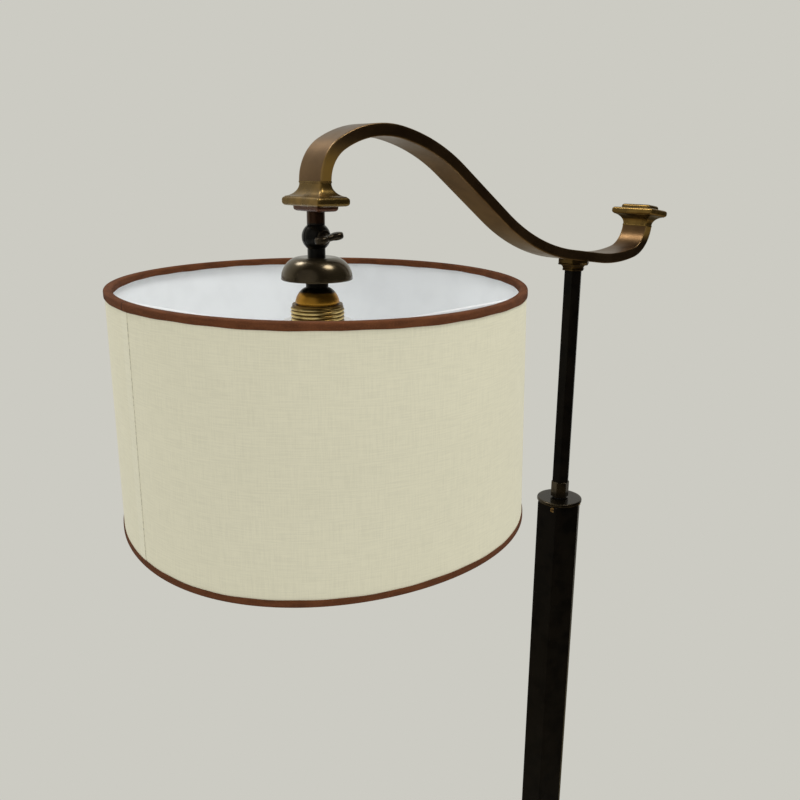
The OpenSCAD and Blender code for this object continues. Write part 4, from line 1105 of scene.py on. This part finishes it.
# The tape from its outer leg's edge over the rim and round the wire, and back inside the fold
tape_section = np.vstack([
    [(0.00005, -BINDING), (TAPE, -BINDING), (TAPE + 0.0001, -BINDING * 0.8),
     (TAPE + 0.0001, -BINDING * 0.5)],
    arc_points(TAPE - 0.0013, -0.0009, 0.0014, 5, 85, 6),
    [(-RIM * 0.5, TAPE * 0.9)],
    arc_points(-RIM + 0.0012, -0.0012, 0.0019, 90, 180, 8),
    [(-RIM - TAPE, -BINDING * 0.7), (-RIM - TAPE * 0.8, -BINDING), (-RIM, -BINDING),
     (-RIM, -0.0016), (-RIM + 0.0012, -0.0001), (-0.0004, -0.0001), (0.00005, -0.0006)],
])
wire_section = arc_points(WIRE_IN, WIRE_DOWN, WIRE / 2, 0, 337.5, 16)
for label, edge_z, up in (("top", SHADE_TOP, 1), ("foot", SHADE_FOOT, -1)):
    binding = ring_piece("tape_" + label, "tape", tape_section, edge_z, up)
    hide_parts("shade_binding_" + label)
    wire = ring_piece("wire_" + label, "white", wire_section, edge_z, up, turns=160)
    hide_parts("shade_wire_" + label)


def fitter_arms():
    """Three round arms from the hub plate's rim up to the middle of the top wire.

    A ring of points is carried along the straight line between an arm's ends.
    """
    inner_end, thick = 0.0285, 0.0036
    ring = round_angles(20).T
    share = np.linspace(0, 1, 8)[:, None, None]
    points, faces = [], []
    for angle in np.radians([57, 177, 297]):
        outward = np.array([math.cos(angle), math.sin(angle), 0])
        level = SHADE_TOP + WIRE_DOWN
        out, up = hang(angle, level)
        start = np.array([-REACH, 0, HUB_FOOT + 0.001]) + inner_end * outward
        end = np.array([-REACH, 0, level + up]) + (shade_radius(level) + WIRE_IN + out) * outward
        side = np.cross([0, 0, 1], outward)
        rise = np.cross((end - start) / np.linalg.norm(end - start), side)
        tube = start + (end - start) * share
        tube = tube + thick / 2 * (np.cos(ring) * side + np.sin(ring) * rise)
        tube, more = closed_tube(tube.reshape(-1, 3), len(share), len(ring))
        faces += [face + sum(len(group) for group in points) for face in more]
        points.append(tube)
    return build("fitter_spokes", "head", "white", np.vstack(points), faces)


hub = lathe("fitter_hub", "head", "white", rounded([
    (0.0203, HUB_FOOT, 0.0003), (0.030, HUB_FOOT, 0.0005), (0.030, HUB_TOP, 0.0005),
    (0.0203, HUB_TOP, 0.0003),
], 2), LAMP_AXIS, 72, closed=True)
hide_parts("shade_fitter")
spokes = fitter_arms()

# ---------------------------------------------------------------- finishes of the CAD pieces

cad_finishes = {
    "felt": ["felt_pad"],
    "iron": ["foot_weight"],
    "steel": ["foot_washer", "foot_nut", "foot_bolt", "pivot_nipple", "pivot_washer", "pivot_nut",
              "arm_nipple", "knuckle_washer", "bulb_shell"],
    "black": ["cord_inlet", "rod_spacer", "lead_column", "lead_arm", "lead_head"],
    "brass": ["column_plug", "bulb_contact"],
    "screw": ["cap_screws"],
    "knuckle": ["knuckle_upper", "knuckle_lower"],
    "ceramic": ["lampholder_core"],
    "white": ["shade_ring_upper", "shade_ring_lower"],
}
for finish, names in cad_finishes.items():
    for name in names:
        data = nodes[name].data
        data.materials.clear()
        data.materials.append(materials[finish])


# ---------------------------------------------------------------- floor, lamps and world

FLOOR_RADIUS = 0.9


def floor():
    """A pale round floor that fades out with its distance from the lamp."""
    material = bpy.data.materials.new("pale_floor")
    tree = Tree(material)
    place = tree.node("TexCoord", {}, {}, "Object")
    far = tree.node("VectorMath", {"operation": "LENGTH"}, {0: place}, 1)
    base = tree.node("BsdfDiffuse", {}, {"Color": (0.60, 0.595, 0.57, 1)})
    clear = tree.node("BsdfTransparent", {}, {})
    shader = tree.node("MixShader", {}, {0: far.step(0.30, 0.80), 1: base, 2: clear})
    tree.node("OutputMaterial", {}, {"Surface": shader})
    rim = [(FLOOR_RADIUS * math.cos(a), FLOOR_RADIUS * math.sin(a), 0)
           for a in round_angles(64)[0]]
    mesh = bpy.data.meshes.new("floor")
    mesh.from_pydata(rim, [], [list(range(len(rim)))])
    mesh.materials.append(material)
    obj = bpy.data.objects.new("floor", mesh)
    bpy.context.scene.collection.objects.link(obj)


def lamp(name, at, towards, size, power):
    """A round white lamp at a place, turned towards another, that the camera doesn't see."""
    data = bpy.data.lights.new(name, "AREA")
    data.shape = "DISK"
    data.size = size
    data.energy = power
    obj = bpy.data.objects.new(name, data)
    bpy.context.scene.collection.objects.link(obj)
    obj.location = at
    direction = Vector(towards) - Vector(at)
    obj.rotation_euler = direction.to_track_quat("-Z", "Y").to_euler()
    obj.visible_camera = False


# The pale wall, the dim side of the room and the floorboards that reflections show
WALL = rgb(204, 203, 195)
ROOM = (0.012, 0.010, 0.007, 1)
BOARDS = (0.30, 0.24, 0.13, 1)
BRIGHT_SIDE = math.radians(75)


def world():
    """Soft light all round, and a pale wall where the camera looks.

    A reflection shows that wall on the bright side of the room, the dim room on the other side
    and brown floorboards below.
    """
    scene_world = bpy.data.worlds.new("studio")
    bpy.context.scene.world = scene_world
    tree = Tree(scene_world)
    seen = tree.node("LightPath", {}, {}, "Is Camera Ray")
    glossy = seen.part("Is Glossy Ray")
    through = seen.part("Is Transmission Ray")
    looking = tree.node("TexCoord", {}, {}, "Generated")
    bright = (math.cos(BRIGHT_SIDE), math.sin(BRIGHT_SIDE), 0)
    towards = tree.node("VectorMath", {"operation": "DOT_PRODUCT"}, {0: looking, 1: bright}, 1)
    height = tree.node("VectorMath", {"operation": "DOT_PRODUCT"}, {0: looking, 1: (0, 0, 1)}, 1)
    room = tree.mix(towards.step(-0.05, 0.45), ROOM, WALL)
    room = tree.mix(height.step(-0.25, -0.60), room, BOARDS)
    shown = tree.mix(seen, room, WALL)
    wall = tree.node("Background", {}, {"Color": shown, "Strength": 1.0})
    light = tree.node("Background", {}, {"Color": (1.0, 0.995, 0.98, 1), "Strength": 0.74})
    direct = (seen + glossy + through).clamp()
    shader = tree.node("MixShader", {}, {0: direct, 1: light, 2: wall})
    tree.node("OutputWorld", {}, {"Surface": shader})


floor()
world()
lamp("ceiling_back", (-0.71, 1.22, 3.08), (-REACH, 0, 1.3), 0.6, 14)
lamp("ceiling_front", (0.36, -0.85, 3.22), (-REACH, 0, 1.3), 0.8, 20)
lamp("fill", (-2.95, -0.96, 2.23), (-REACH, 0, 1.2), 4.0, 11)

bpy.context.scene.view_settings.view_transform = "Standard"
